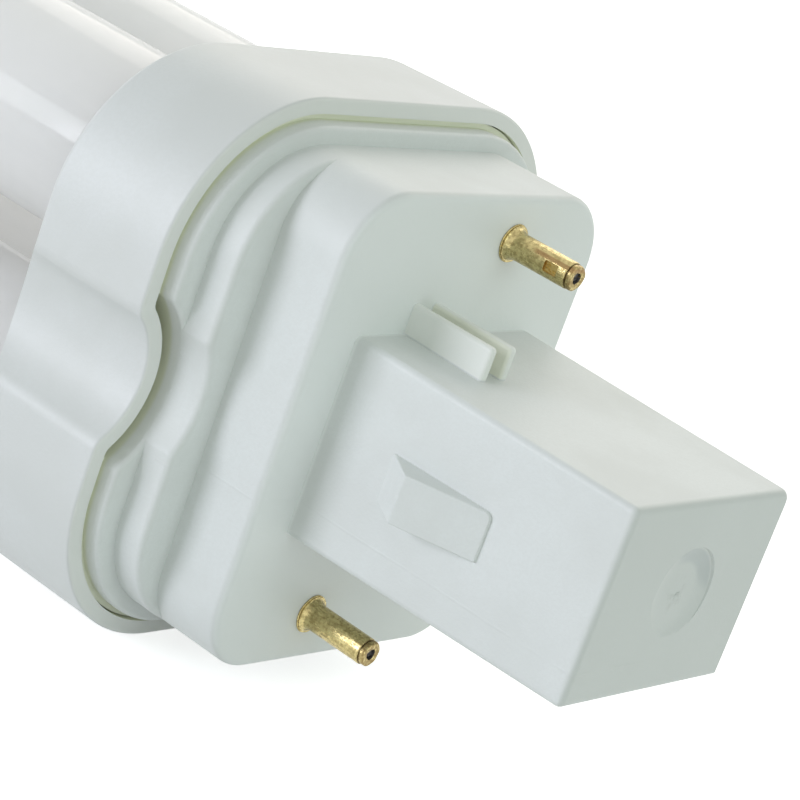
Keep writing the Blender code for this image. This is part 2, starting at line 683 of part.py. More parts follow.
def make_wiring():
    """Leads from the two pinched ends to the pins and to the starter in the post."""
    left_joint = (GLOW_X - GLOW_LEAD_SPACING / 2 - JOINT_BORE / 3, JOINT_BORE)
    right_joint = (GLOW_X + GLOW_LEAD_SPACING + JOINT_BORE / 3, -JOINT_BORE)
    make_joint("wire_joint_left", left_joint)
    make_joint("wire_joint_right", right_joint)
    start = PINCH_FRONT + LEAD_GAP
    turn = start + 2 * WIRE_DIAMETER
    middle = (JOINT_FRONT + JOINT_REAR) / 2
    tip = PIN_LENGTH - 2 * LEAD_GAP
    pin_back = -FACE_THICKNESS - PIN_GAP - PIN_TAIL
    reach = PINCH_WIDTH / 4

    near = LEG - reach
    far = LEG + reach
    make_wire("pin_lead_upper", smooth_route([
        (near, LEG, start), (near, LEG, turn), ((near + PIN_X) / 2, (LEG + PIN_Y) / 2, turn),
        (PIN_X, PIN_Y, pin_back - 2 * WIRE_DIAMETER), (PIN_X, PIN_Y, pin_back),
        (PIN_X, PIN_Y, tip)]))
    crossing = -SHOULDER_DEPTH
    lane = BLOCK_HALF_X - BLOCK_WALL - SLEEVE_BORE / 2 - SLEEVE_WALL - 2 * CLEARANCE
    lower = smooth_route([
        (-far, LEG, start), (-far, LEG, turn), (-lane, LEG / 2, crossing),
        (-lane, -LEG / 3, crossing), (-near, -LEG, crossing),
        (-PIN_X, -PIN_Y, pin_back - 2 * WIRE_DIAMETER), (-PIN_X, -PIN_Y, pin_back),
        (-PIN_X, -PIN_Y, tip)])
    make_wire("pin_lead_lower", lower)
    make_sleeve("lead_sleeve_left", lower, *LEFT_SLEEVE_POINTS)

    seat = joint_seat(left_joint, 1)
    make_wire("starter_lead_left", smooth_route([
        (-near, LEG, start), (-near, LEG, turn),
        ((seat[0] - near) / 2, (seat[1] + LEG) / 2, turn - WIRE_DIAMETER / 2),
        (*seat, JOINT_REAR - WIRE_DIAMETER), (*seat, JOINT_REAR), (*seat, middle)]))
    seat = joint_seat(right_joint, 1)
    right = smooth_route([
        (far, LEG, start), (far, LEG, turn), (LEG, LEG / 3, turn),
        ((seat[0] + LEG) / 2, seat[1] / 2, turn), (*seat, JOINT_REAR - WIRE_DIAMETER),
        (*seat, JOINT_REAR), (*seat, middle)])
    make_wire("starter_lead_right", right)
    make_sleeve("lead_sleeve_right", right, *RIGHT_SLEEVE_POINTS)

    back = GLOW_FROM_FACE - LEAD_GAP
    for joint, side, word, number in ((left_joint, -1, "left", 0), (right_joint, 1, "right", 2)):
        seat = joint_seat(joint, number)
        x = GLOW_X + side * GLOW_LEAD_SPACING / 2
        make_wire("glow_lead_" + word, smooth_route([
            (x, 0.0, back), (x, 0.0, back - WIRE_DIAMETER),
            ((x + seat[0]) / 2, seat[1] / 2, (back + JOINT_FRONT) / 2),
            (*seat, JOINT_FRONT + WIRE_DIAMETER / 2), (*seat, middle)]))
    back = CAPACITOR_FROM_FACE - LEAD_GAP
    reach = CAPACITOR_HEIGHT / 4
    top = post_half_height(0.0) - POST_WALL - SLEEVE_BORE
    seat = joint_seat(left_joint, 2)
    make_wire("capacitor_lead_left", smooth_route([
        (CAPACITOR_X, reach, back), (CAPACITOR_X, reach, back - 2 * WIRE_DIAMETER),
        (CAPACITOR_X / 2, top, GLOW_FROM_FACE / 2), (GLOW_X, top, -WIRE_DIAMETER),
        (*seat, JOINT_FRONT + WIRE_DIAMETER / 2), (*seat, middle)]))
    seat = joint_seat(right_joint, 0)
    make_wire("capacitor_lead_right", smooth_route([
        (CAPACITOR_X, -reach, back), (CAPACITOR_X, -reach, back - 2 * WIRE_DIAMETER),
        ((CAPACITOR_X + seat[0]) / 2, (seat[1] - reach) / 2, 0.0),
        (*seat, JOINT_FRONT + WIRE_DIAMETER / 2), (*seat, middle)]))


make_discharge_tube()
make_shell()
make_cement()
make_cap_body()
make_pin("contact_pin_upper", 1)
make_pin("contact_pin_lower", -1)
make_glow_bottle()
make_capacitor()
make_wiring()
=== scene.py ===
"""Looks of the compact fluorescent lamp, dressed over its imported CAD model.

Every piece is shaped in the lamp's own axes: x across the lamp, y up, and z along it
from the glass to the plug post, with zero in the middle of the pin face. lamp_axes()
turns those axes into the frame's when a piece is finished.
"""

from functools import partial
from math import acos, atan2, cos, pi, radians, sin, tan

import bmesh
import bpy
from bpy.props import FloatProperty, FloatVectorProperty, PointerProperty
from mathutils import Matrix, Vector


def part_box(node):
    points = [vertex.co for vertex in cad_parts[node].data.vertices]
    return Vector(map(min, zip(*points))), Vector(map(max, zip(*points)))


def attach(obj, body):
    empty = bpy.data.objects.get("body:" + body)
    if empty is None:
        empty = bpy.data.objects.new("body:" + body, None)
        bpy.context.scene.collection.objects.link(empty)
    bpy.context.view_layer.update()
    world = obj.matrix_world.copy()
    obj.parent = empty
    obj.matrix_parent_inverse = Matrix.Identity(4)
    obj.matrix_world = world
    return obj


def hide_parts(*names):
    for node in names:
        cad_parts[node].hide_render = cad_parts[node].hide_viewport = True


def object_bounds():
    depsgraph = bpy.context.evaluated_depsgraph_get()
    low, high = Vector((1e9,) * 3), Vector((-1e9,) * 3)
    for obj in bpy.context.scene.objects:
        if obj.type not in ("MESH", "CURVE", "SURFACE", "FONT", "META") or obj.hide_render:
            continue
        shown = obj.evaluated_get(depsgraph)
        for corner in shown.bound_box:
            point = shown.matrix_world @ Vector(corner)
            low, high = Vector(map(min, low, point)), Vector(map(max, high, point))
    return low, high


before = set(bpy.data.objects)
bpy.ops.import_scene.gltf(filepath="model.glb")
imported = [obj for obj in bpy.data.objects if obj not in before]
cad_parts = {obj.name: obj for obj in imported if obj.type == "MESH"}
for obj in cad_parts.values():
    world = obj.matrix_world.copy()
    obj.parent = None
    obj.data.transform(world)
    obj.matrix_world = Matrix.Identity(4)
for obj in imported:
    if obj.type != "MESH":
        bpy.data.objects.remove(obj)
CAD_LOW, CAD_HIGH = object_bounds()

bl_info = {
    "name": "Compact Fluorescent Lamp",
    "version": (1, 0, 0),
    "blender": (4, 5, 0),
    "location": "3D View > Sidebar > Lamp",
    "description": "Builds the lamp's glass, shell, cap and pins, and a plain stage",
    "category": "Object",
}

BODY = "root"

# How finely the curved shapes are drawn
CORNER_STEPS = 28
FLUTE_STEPS = 36
CUSP_STEPS = 6
POST_STEPS = 5
EDGE_STEPS = 4
FINE_STEPS = 3
TUBE_SIDES = 72
BEND_STEPS = 56
LEG_RINGS = 12
PIN_STEPS = 56
FLARE_STEPS = 12
HOLE_SIDES = 64
SEAT_SIDES = 40
WIRE_SIDES = 9
ROOM_STEPS = 10

# Distance at which points merge, angle in degrees up to which a surface is shaded
# smooth, how far a tool reaches past what it cuts, and the height of the lamp's axis
WELD = 1e-7
SMOOTH_ANGLE = 32
REACH = 0.0004
MIDDLE_UP = (CAD_LOW.z + CAD_HIGH.z) / 2

# Where the cap's painted light and painted shade start and end, in metres from the pin face,
# the post's top, the second rib's middle and the post's end, and the dimple's rim in shares of its
# diameter
FACE_BAND = (0.00008, 0.0003)
RIB_FOOT = (0.00003, 0.00012)
RIB_FRONT = 0.0001
RIB_GAP_RISE = (-0.001, -0.0009)
RIB_GAP_FALL = (-0.0003, -0.0001)
END_BAND = (-0.0003, -0.0001)
DISC_RIM = (0.54, 0.62)

# Shade in the dimple: its inner and outer edge from the middle, the side that it lies
# on, and how far to that side it rises
HOLLOW_RING = ((0.0017, 0.0021), (0.0027, 0.0029))
HOLLOW_SIDE = (0.0, 0.47, 0.88)
HOLLOW_RISE = (0.0010, 0.0019)

# Dimple's half section as shares of its radius and its depth, and the gate mark's shape
DISH = ((0.0, 0.15), (0.35, 0.04), (0.62, 0.0), (0.72, 0.08), (0.81, 0.25), (0.90, 0.52),
        (0.98, 0.80), (1.04, 1.04))
GATE_SHAPE = (1.0, 0.8, 0.35)

# Dirt that fills a pin's bore, from its low to its high end, and the start of the wire
# in it, in metres from the pin's tip
FILLING = (0.0017, 0.0012)
WIRE_START = 0.0016

# Tones of a pin, in metres from its neck, from the middle of its painted dark reflection and from
# its tip
BURNT_EDGE = (-0.00004, 0.00006)
NECK_LINE = (0.00001, 0.000045)
DARK_REFLECTION_BAND = (0.00007, 0.00016)
DARK_REFLECTION_START = (0.0031, 0.0026)


def length(name, default, description):
    """A size in metres, shown in the sidebar."""
    return FloatProperty(name=name, description=description, default=default,
                         unit="LENGTH", precision=5)


def share(name, default, description):
    """A number from 0 to 1, shown in the sidebar."""
    return FloatProperty(name=name, description=description, default=default,
                         min=0.0, max=1.0, subtype="FACTOR")


def colour(name, default, description):
    """A linear colour, shown in the sidebar."""
    return FloatVectorProperty(name=name, description=description, default=default,
                               size=3, min=0.0, max=1.0, subtype="COLOR")


class LampGlass(bpy.types.PropertyGroup):
    """Sizes and colours of the glass."""

    tube_diameter: length("Tube diameter", 0.012, "Outside diameter of the glass tube")
    bend_gap: length("Bend gap", 0.0032, "Free space between the legs of one bend")
    pair_gap: length("Pair gap", 0.0016, "Free space between the two bends")
    twist: FloatProperty(name="Twist", description="Turn of the glass about the lamp's axis",
                         default=radians(-2.3), subtype="ANGLE")
    leg_end: length("Leg end", 0.0105, "How far behind the pin face the legs end")
    end_round: length("End rounding", 0.0016, "Rounding of a leg's closed end")
    bridge_diameter: length("Bridge diameter", 0.0066, "Diameter of the glass bridge")
    bridge_flare: length("Bridge flare", 0.0009, "How much the bridge widens at a leg")
    bridge_place: length("Bridge place", 0.008, "Distance from the shell to the bridge")
    pinch_width: length("Pinch width", 0.0064, "Width of a flattened, sealed end")
    pinch_thickness: length("Pinch thickness", 0.0022, "Thickness of a sealed end")
    pinch_length: length("Pinch length", 0.0026, "How far a sealed end stands out")
    pinch_edge: length("Pinch edge", 0.0004, "Rounding of a sealed end")
    # Painted glow: emission that stands in for light the translucent coat carries round
    painted_glow: share("Painted glow", 0.10, "Light that the powder coat carries round")
    coating: colour("Coating", (0.625, 0.63, 0.63), "The white coat inside the glass")
    thin_coating: colour("Thin coating", (0.585, 0.595, 0.60), "Where the coat is thin")


class LampShell(bpy.types.PropertyGroup):
    """Sizes and colours of the fluted shell."""

    width: length("Width", CAD_HIGH.z - CAD_LOW.z, "Width and height of the shell")
    flat: length("Flat", 0.007, "Half of a side between its two round corners")
    wall: length("Wall", 0.00095, "Thickness of the wall")
    depth: length("Depth", 0.0076, "How far behind the pin face the rim lies")
    shell_length: length("Length", 0.0086, "Length along the lamp")
    floor: length("Floor", 0.0012, "Thickness of the floor round the tubes")
    flute_outside: length("Flute line", 0.00265, "How far outside the side a flute's centre is")
    flute_radius: length("Flute radius", 0.00465, "Radius of a flute")
    cusp_round: length("Cusp rounding", 0.0012, "Rounding of the ridge beside a flute")
    rim_edge: length("Rim edge", 0.00024, "Rounding of the rim's outer edge")
    draft: length("Draft", 0.0002, "How much lower the shell's top is at its rear")
    # Painted light: lighter olive tone where light would shine through the rim
    rim_glow: colour("Rim glow", (0.84, 0.86, 0.70), "Where light shines through the rim")
    # Painted light: lighter tone along the rim's front edge
    painted_rim_light: colour("Rim tone", (0.82, 0.835, 0.80), "Lighter tone of the rim's thin edge")
    # Painted light: lighter olive tone of the inner wall further down
    inside: colour("Inside", (0.86, 0.88, 0.70), "Tone of the inner wall")
    glow_depth: length("Glow depth", 0.0004, "How far the light shines into the inner wall")
    tail_inset: length("Tail inset", 0.00265, "How far the sloped rear face runs inwards")
    tail_slope: FloatProperty(name="Tail slope", default=radians(41), subtype="ANGLE",
                              description="Slope of the rear face")
    plastic: colour("Plastic", (0.735, 0.757, 0.745), "Colour of the shell")
    shade: colour("Shade", (0.70, 0.72, 0.70), "Slightly deeper tone of the plastic")


class LampCap(bpy.types.PropertyGroup):
    """Sizes and colours of the collar, shoulder and pin block."""

    slip: length("Slip", 0.0004, "Free space between the shell and the collar")
    flute_gap: length("Flute gap", 0.0008, "Extra free space inside a flute")
    collar_depth: length("Collar depth", 0.0067, "How far behind the pin face the collar is")
    collar_length: length("Collar length", 0.005, "Length of the collar's skirt")
    collar_edge: length("Collar edge", 0.0003, "Rounding of the collar's front edge")
    cusp_round: length("Cusp rounding", 0.0008, "Rounding of the ridge beside a flute")
    shoulder_depth: length("Shoulder depth", 0.00465, "How far back the shoulder is")
    shoulder_step_x: length("Shoulder step across", 0.0015, "Step in from the collar")
    shoulder_step_y: length("Shoulder step up", 0.00105, "Step in from the collar")
    shoulder_corner: length("Shoulder corner", 0.0065, "Corner radius of the shoulder")
    shoulder_edge: length("Shoulder edge", 0.0004, "Rounding of the shoulder's front edge")
    block_step_x: length("Block step across", 0.00375, "Step in from the collar")
    block_step_y: length("Block step up", 0.00087, "Step in from the collar")
    block_corner: length("Block corner", 0.0042, "Corner radius of the pin block")
    block_edge: length("Block edge", 0.0005, "Rounding of the pin face's edge")
    block_off_x: length("Block offset across", 0.0002, "Offset of the pin block")
    block_off_y: length("Block offset up", -0.00013, "Offset of the pin block")
    face_thickness: length("Face thickness", 0.0016, "Thickness behind the pin face")
    wall: length("Wall", 0.0013, "Wall of the collar and shoulder")
    plastic: colour("Plastic", (0.775, 0.805, 0.79), "Colour of the cap")
    shade: colour("Shade", (0.735, 0.76, 0.74), "Slightly deeper tone of the plastic")
    # Painted light: lighter tone of the pin face
    painted_face_light: colour("Face tone", (0.87, 0.90, 0.885), "Cleaner plastic of the pin face")
    # Painted light: lighter tone of the ribs, and brighter still between the two
    painted_rib_light: colour("Key tone", (0.90, 0.92, 0.875), "Thin plastic of the ribs")
    key_glow: colour("Key glow", (0.90, 0.915, 0.79), "Light between the two ribs")
    # Painted light: lighter tone of the collar beside the rim, and a lighter olive tone down in the
    # groove
    skirt: colour("Skirt", (0.90, 0.92, 0.905), "Cleaner plastic of the collar beside the rim")
    groove: colour("Groove", (0.84, 0.86, 0.70), "Tone of the plastic down in the groove")
    ledge_depth: length("Ledge depth", 0.00035, "Depth of the ledge in the groove")
    ledge_gap: length("Ledge gap", 0.00008, "Free space between the ledge and the shell")
    # Painted shade: darker tone of the post's end and of its dimple
    painted_end_shade: colour("End tone", (0.66, 0.69, 0.67), "Duller plastic on the post's end")
    mark: colour("Mark", (0.55, 0.575, 0.55), "Marks round the moulding gate")
    mark_reach: length("Mark reach", 0.0014, "How far those marks go")
    hollow: colour("Hollow", (0.565, 0.60, 0.595), "Shade in the dimple's deep side")
    # How far the painted light beside the rim fades
    groove_fade: length("Groove fade", 0.0006, "Depth over which the skirt's tone fades")
    seam_level: length("Seam level", 0.01285, "Height of the mould seam above the ground")
    seam_width: length("Seam width", 0.00011, "Width of the mould seam")


class LampPlug(bpy.types.PropertyGroup):
    """Sizes of the plug post with its key ribs and catches."""

    post_length: length("Length", 0.0197, "How far the post stands out of the pin face")
    root_width: length("Root width", 0.0162, "Width of the post at the pin face")
    tip_width: length("Tip width", 0.01552, "Width of the post at its end")
    tip_off_x: length("Tip offset across", 0.00012, "Offset of the post's end")
    tip_off_y: length("Tip offset up", -0.0001, "Offset of the post's end")
    root_height: length("Root height", 0.0122, "Height of the post at the pin face")
    tip_height: length("Tip height", 0.0117, "Height of the post at its end")
    edge: length("Edge", 0.00042, "Rounding of the post's edges")
    far_edge: length("Far edge", 0.0008, "Rounding of the post's upper right edge")
    wall: length("Wall", 0.0012, "Wall of the hollow post")
    end_wall: length("End wall", 0.0013, "Wall at the post's end")
    dimple_diameter: length("Dimple diameter", 0.0055, "Dimple in the post's end")
    dimple_depth: length("Dimple depth", 0.00025, "Depth of the dimple")
    dimple_tilt: FloatProperty(name="Dimple tilt", default=radians(3.4), subtype="ANGLE",
                               description="How far the dimple leans to the upper right")
    gate_size: length("Gate size", 0.0004, "Size of the gate mark in the dimple")
    key_thickness: length("Key thickness", 0.00062, "Thickness of a key rib")
    key_pitch: length("Key pitch", 0.0018, "Distance between the two key ribs")
    key_place: length("Key place", 0.003715, "Distance of the first rib from the middle")
    key_height: length("Key height", 0.00185, "How far a rib stands above the post")
    key_length: length("Key length", 0.00585, "Length of a rib")
    key_edge: length("Key edge", 0.00027, "Rounding of a rib's edges")
    catch_start: length("Catch start", 0.00484, "Where a catch rises out of the post")
    catch_crest: length("Catch crest", 0.0072, "Where a catch is highest")
    catch_end: length("Catch end", 0.01194, "Where a catch ends")
    catch_height: length("Catch height", 0.00186, "Height of the crest")
    catch_end_height: length("Catch end height", 0.0001, "Height at the catch's end")
    catch_width: length("Catch width", 0.00288, "Width of a catch")
    catch_edge: length("Catch edge", 0.00018, "Rounding of a catch's edges")
    catch_corner: length("Catch corner", 0.00045, "Rounding of a catch's upper end corner")


class LampPins(bpy.types.PropertyGroup):
    """Sizes and colours of the two contact pins."""

    place_x: length("Place across", 0.0031, "Distance of a pin from the middle")
    place_y: length("Place up", 0.0116, "Distance of a pin from the middle")
    diameter: length("Diameter", 0.00164, "Diameter of a pin")
    bore: length("Bore", 0.00084, "Bore of a pin")
    mouth: length("Mouth", 0.00068, "Bore at the swaged end")
    pin_length: length("Length", 0.00485, "How far a pin stands out")
    flange_diameter: length("Flange diameter", 0.00238, "Flange that rests on the pin face")
    flange_thickness: length("Flange thickness", 0.00014, "Thickness of the flange")
    flare: length("Flare", 0.00062, "Height of the flare above the flange")
    seat: length("Seat", 0.00015, "Gap round the pin in the plastic")
    rim_length: length("Rim length", 0.00036, "Length of the swaged rim at the tip")
    groove: length("Groove", 0.00006, "How much narrower the rim is than the pin")
    soft: length("Soft edge", 0.00009, "Rounding of the pin's edges")
    dent: length("Dent", 0.000022, "How far out of round the rim and the flange are")
    tail: length("Tail", 0.0006, "Length of the tail behind the pin face")
    window_length: length("Window length", 0.00095, "Length of the punched window")
    window_width: length("Window width", 0.00066, "Width of the punched window")
    window_depth: length("Window depth", 0.00017, "Depth of the punched window")
    window_place: length("Window place", 0.00142, "Distance of the window from the tip")
    brass: colour("Brass", (0.62, 0.52, 0.245), "Clean brass")
    tarnish: colour("Tarnish", (0.34, 0.27, 0.115), "Tarnished brass")
    # grime colours the stain patches and the dark line round the neck
    grime: colour("Grime", (0.075, 0.05, 0.022), "Dark stains in the hollows")
    flux: colour("Flux", (0.40, 0.235, 0.04), "Brown flux in the window")
    rim_brown: colour("Rim brown", (0.28, 0.20, 0.085), "Heated, dirty brass of the rim")
    # Painted dark reflection along the top of the upper pin
    painted_dark_reflection: colour("Band brown", (0.30, 0.185, 0.08), "Rubbed band on the upper pin")


class LampStage(bpy.types.PropertyGroup):
    """Light and camera."""

    lens: FloatProperty(name="Lens", description="Focal length on a 36 mm sensor",
                        default=129.3, unit="CAMERA")
    side_light: FloatProperty(name="Side light", description="Brightness of the left panel",
                              default=6.9, min=0.0)
    gloss_light: FloatProperty(name="Gloss light", default=4.2, min=0.0,
                               description="Brightness of the panel that only the gloss shows")
    top_light: FloatProperty(name="Top light", description="Brightness of the upper panel",
                             default=1.85, min=0.0)
    front_light: FloatProperty(name="Front light", description="Brightness of the weak front panel",
                               default=1.35, min=0.0)
    ambient: share("Ambient", 0.44, "Even light from all round")
    room: colour("Room", (0.93, 1.0, 0.95), "Tint of the even light")
    floor_lift: share("Floor lift", 0.70, "How much whiter the floor looks than it is lit")
    floor: colour("Floor", (0.84, 0.85, 0.85), "Colour of the floor")


# Places in the frame


def face_place():
    """How far along the frame the pin face lies."""
    return CAD_HIGH.x - bpy.context.scene.lamp_plug.post_length


def rim_place():
    """How far along the frame the shell's rim lies."""
    return face_place() - bpy.context.scene.lamp_shell.depth


def lamp_axes():
    """The lamp's own axes as a matrix in the frame."""
    return Matrix(((0.0, 0.0, 1.0, face_place()), (1.0, 0.0, 0.0, 0.0),
                   (0.0, 1.0, 0.0, MIDDLE_UP), (0.0, 0.0, 0.0, 1.0)))


# Shapes


def move(work, x, y, z, verts=None):
    """Move a shape, or only some of its points."""
    bmesh.ops.translate(work, vec=(x, y, z), verts=work.verts[:] if verts is None else verts)


def new_items(made, kind):
    """The points or the edges that an extrusion made."""
    return [item for item in made["geom"] if isinstance(item, kind)]


def swing(work, start, centre, angle, steps):
    """Swing one point round a centre; give the first and the last point of its arc."""
    first = work.verts.new((*start, 0.0))
    made = bmesh.ops.spin(work, geom=[first], cent=(*centre, 0.0), axis=(0.0, 0.0, 1.0),
                          dvec=(0.0, 0.0, 0.0), angle=angle, steps=steps,
                          use_merge=False, use_duplicate=False)
    last = next(item for item in made["geom_last"] if isinstance(item, bmesh.types.BMVert))
    return first, last


def round_rectangle(work, half_x, half_y, corner, flute=None, steps=CORNER_STEPS):
    """One flat face: a rounded rectangle, with a flute in both sides if one is given.

    A flute is (distance of its centre from the middle, radius, rounding of its two cusps).
    """
    x, y = half_x - corner, half_y - corner
    arcs = [swing(work, (half_x, y), (x, y), pi / 2, steps),
            swing(work, (-x, half_y), (-x, y), pi / 2, steps),
            swing(work, (-half_x, -y), (-x, -y), pi / 2, steps),
            swing(work, (x, -half_y), (x, -y), pi / 2, steps)]
    if flute:
        arcs = (fluted_side(work, half_x, *flute) + arcs[:2]
                + fluted_side(work, -half_x, *flute) + arcs[2:])
    for (_, last), (first, _) in zip(arcs, arcs[1:] + arcs[:1]):
        work.edges.new((last, first))
    bmesh.ops.remove_doubles(work, verts=work.verts[:], dist=WELD)
    bmesh.ops.edgeloop_fill(work, edges=work.edges[:])


def fluted_side(work, side, centre, radius, cusp):
    """Arcs of one fluted side: round the first cusp, along the flute, round the second."""
    turn = 1 if side > 0 else -1
    half = abs(side)
    angle = acos((centre - half + cusp) / (radius + cusp))
    if not cusp:
        rise = turn * radius * sin(angle)
        return [swing(work, (side, -rise), (turn * centre, 0.0), -2 * angle, FLUTE_STEPS)]
    rise = turn * (radius + cusp) * sin(angle)
    middle = turn * (half - cusp)
    near = (turn * (centre - radius * cos(angle)), turn * -radius * sin(angle))
    return [swing(work, (side, -rise), (middle, -rise), angle, CUSP_STEPS),
            swing(work, near, (turn * centre, 0.0), -2 * angle, FLUTE_STEPS),
            swing(work, (near[0], -near[1]), (middle, rise), angle, CUSP_STEPS)]


def pull(work, x, y, z):
    """Pull the flat face out to a solid."""
    made = bmesh.ops.extrude_face_region(work, geom=work.faces[:])
    move(work, x, y, z, new_items(made, bmesh.types.BMVert))
    open_edges = [edge for edge in work.edges if edge.is_boundary]
    if open_edges:
        bmesh.ops.holes_fill(work, edges=open_edges, sides=0)
    bmesh.ops.recalc_face_normals(work, faces=work.faces[:])


def thicken(work, low, high):
    """Give the flat face its thickness, from low to high along the lamp."""
    pull(work, 0.0, 0.0, high - low)
    move(work, 0.0, 0.0, low)


def round_off(work, edges, width, steps=EDGE_STEPS):
    """Round edges of a shape."""
    bmesh.ops.bevel(work, geom=edges, offset=width, offset_type="OFFSET", segments=steps,
                    profile=0.5, affect="EDGES", material=-1, clamp_overlap=False)


def lies_at(edge, height):
    """True if an edge lies across the lamp at that height."""
    return all(abs(vert.co.z - height) < WELD for vert in edge.verts)


def runs_along(edge):
    """True if an edge runs along the lamp."""
    first, second = edge.verts
    return abs((first.co - second.co).normalized().z) > 0.9


def slab(outline, low, high, front_edge=0.0, rear_edge=0.0):
    """Solid on a rounded rectangle, with its front and rear edges rounded."""
    work = bmesh.new()
    round_rectangle(work, *outline)
    thicken(work, low, high)
    for level, width in ((high, front_edge), (low, rear_edge)):
        if width:
            round_off(work, [edge for edge in work.edges if lies_at(edge, level)], width)
    return work


def block(width_low, height_low, width_high, height_high, low, high):
    """Four-sided solid along the lamp that may taper from low to high."""
    work = bmesh.new()
    bmesh.ops.create_cube(work, size=1.0)
    for side, width, height in ((-1, width_low, height_low), (1, width_high, height_high)):
        ends = [vert for vert in work.verts if vert.co.z * side > 0]
        bmesh.ops.scale(work, vec=(width, height, 1.0), verts=ends)
    bmesh.ops.scale(work, vec=(1.0, 1.0, high - low), verts=work.verts[:])
    move(work, 0.0, 0.0, (low + high) / 2)
    return work


def turned(profile, steps, x=0.0, y=0.0, closed=True):
    """Turn a profile of (radius, height) points once round a line along the lamp."""
    work = bmesh.new()
    verts = [work.verts.new((radius, 0.0, height)) for radius, height in profile]
    edges = [work.edges.new(pair) for pair in zip(verts, verts[1:])]
    if closed:
        edges.append(work.edges.new((verts[-1], verts[0])))
    bmesh.ops.spin(work, geom=verts + edges, cent=(0.0, 0.0, 0.0), axis=(0.0, 0.0, 1.0),
                   dvec=(0.0, 0.0, 0.0), angle=2 * pi, steps=steps, use_merge=True,
                   use_duplicate=False)
    bmesh.ops.remove_doubles(work, verts=work.verts[:], dist=WELD)
    move(work, x, y, 0.0)
    bmesh.ops.recalc_face_normals(work, faces=work.faces[:])
    return work


def rod(radius, low, high, x=0.0, y=0.0, sides=HOLE_SIDES):
    """Round bar along the lamp, to cut a hole with."""
    work = bmesh.new()
    bmesh.ops.create_cone(work, cap_ends=True, segments=sides, radius1=radius,
                          radius2=radius, depth=high - low)
    move(work, x, y, (low + high) / 2)
    return work


def to_object(name, work):
    """Put a finished shape into the scene as an object."""
    mesh = bpy.data.meshes.new(name)
    work.to_mesh(mesh)
    work.free()
    item = bpy.data.objects.new(name, mesh)
    bpy.context.scene.collection.objects.link(item)
    return item


def combine(name, work, steps):
    """Join shapes to a first one and cut others out of it, in the order given."""
    for shape in (work, *(shape for _, shape in steps)):
        closed = all(edge.is_manifold for edge in shape.edges)
        if not closed or shape.calc_volume(signed=True) <= 0:
            raise RuntimeError("a shape of " + name + " is open or inside out")
    item = to_object(name, work)
    tools = []
    for operation, shape in steps:
        tool = to_object(name + "_tool", shape)
        change = item.modifiers.new(operation.lower(), "BOOLEAN")
        change.operation = operation
        change.solver = "EXACT"
        change.object = tool
        tools.append(tool)
    bpy.context.view_layer.update()
    seen = item.evaluated_get(bpy.context.evaluated_depsgraph_get())
    mesh = bpy.data.meshes.new_from_object(seen)
    item.modifiers.clear()
    old = item.data
    item.data = mesh
    bpy.data.meshes.remove(old)
    for tool in tools:
        mesh = tool.data
        bpy.data.objects.remove(tool, do_unlink=True)
        bpy.data.meshes.remove(mesh)
    if not item.data.polygons:
        raise RuntimeError("the shape of " + name + " came out empty")
    return item


def finish_piece(item, material, node, others=(), chosen=None):
    """Turn a piece into the frame's axes, give it its finish and let it stand for its node.

    With other materials, the function chosen gives the number of each face's material.
    """
    work = bmesh.new()
    work.from_mesh(item.data)
    bmesh.ops.remove_doubles(work, verts=work.verts[:], dist=WELD)
    bmesh.ops.transform(work, matrix=lamp_axes(), verts=work.verts[:])
    work.to_mesh(item.data)
    work.free()
    item.data.materials.clear()
    item.data.materials.append(material)
    for extra in others:
        item.data.materials.append(extra)
    if chosen:
        for face in item.data.polygons:
            face.material_index = int(chosen(face))
    item.data.shade_smooth()
    item.data.set_sharp_from_angle(angle=radians(SMOOTH_ANGLE))
    even = item.modifiers.new("even_shading", "WEIGHTED_NORMAL")
    even.keep_sharp = True
    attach(item, BODY)
    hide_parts(node)
    return item


# Shader helpers


def add(tree, kind, inputs=None, **settings):
    """Add a shader node, and fill its inputs with plain values or with links."""
    made = tree.nodes.new(kind)
    for key, value in settings.items():
        setattr(made, key, value)
    for key, value in (inputs or {}).items():
        if isinstance(value, bpy.types.NodeSocket):
            tree.links.new(value, made.inputs[key])
        else:
            made.inputs[key].default_value = value
    return made


def calculate(tree, operation, first, second=0.0, third=0.0):
    """Result of one piece of arithmetic on up to three values."""
    made = add(tree, "ShaderNodeMath", {0: first, 1: second, 2: third}, operation=operation)
    return made.outputs[0]


def apart(tree, value, level):
    """How far a value is from a level."""
    return calculate(tree, "ABSOLUTE", calculate(tree, "SUBTRACT", value, level))


def sway(tree, cloud, amount, value):
    """Let a value sway with a noise."""
    return calculate(tree, "MULTIPLY_ADD", calculate(tree, "SUBTRACT", cloud, 0.5), amount, value)


def blend(tree, amount, first, second):
    """Mix two colours: the first at an amount of 0, the second at 1."""
    made = add(tree, "ShaderNodeMix", {0: amount, 6: first, 7: second}, data_type="RGBA")
    return made.outputs[2]


def ramp(tree, value, low, high, start=0.0, end=1.0):
    """Rise smoothly from start to end while the value goes from low to high."""
    made = add(tree, "ShaderNodeMapRange", {"Value": value, "From Min": low, "From Max": high,
                                            "To Min": start, "To Max": end},
               interpolation_type="SMOOTHSTEP")
    return made.outputs["Result"]


def band(tree, value, rise, fall):
    """1 where a value lies after a rise and before a fall, each from its start to its end."""
    return calculate(tree, "MULTIPLY", ramp(tree, value, *rise), ramp(tree, value, *fall, 1.0, 0.0))


def noise(tree, place, scale, detail=3.0, roughness=0.5):
    """Cloudy value about 0.5."""
    made = add(tree, "ShaderNodeTexNoise", {"Vector": place, "Scale": scale, "Detail": detail,
                                            "Roughness": roughness})
    return made.outputs[0]


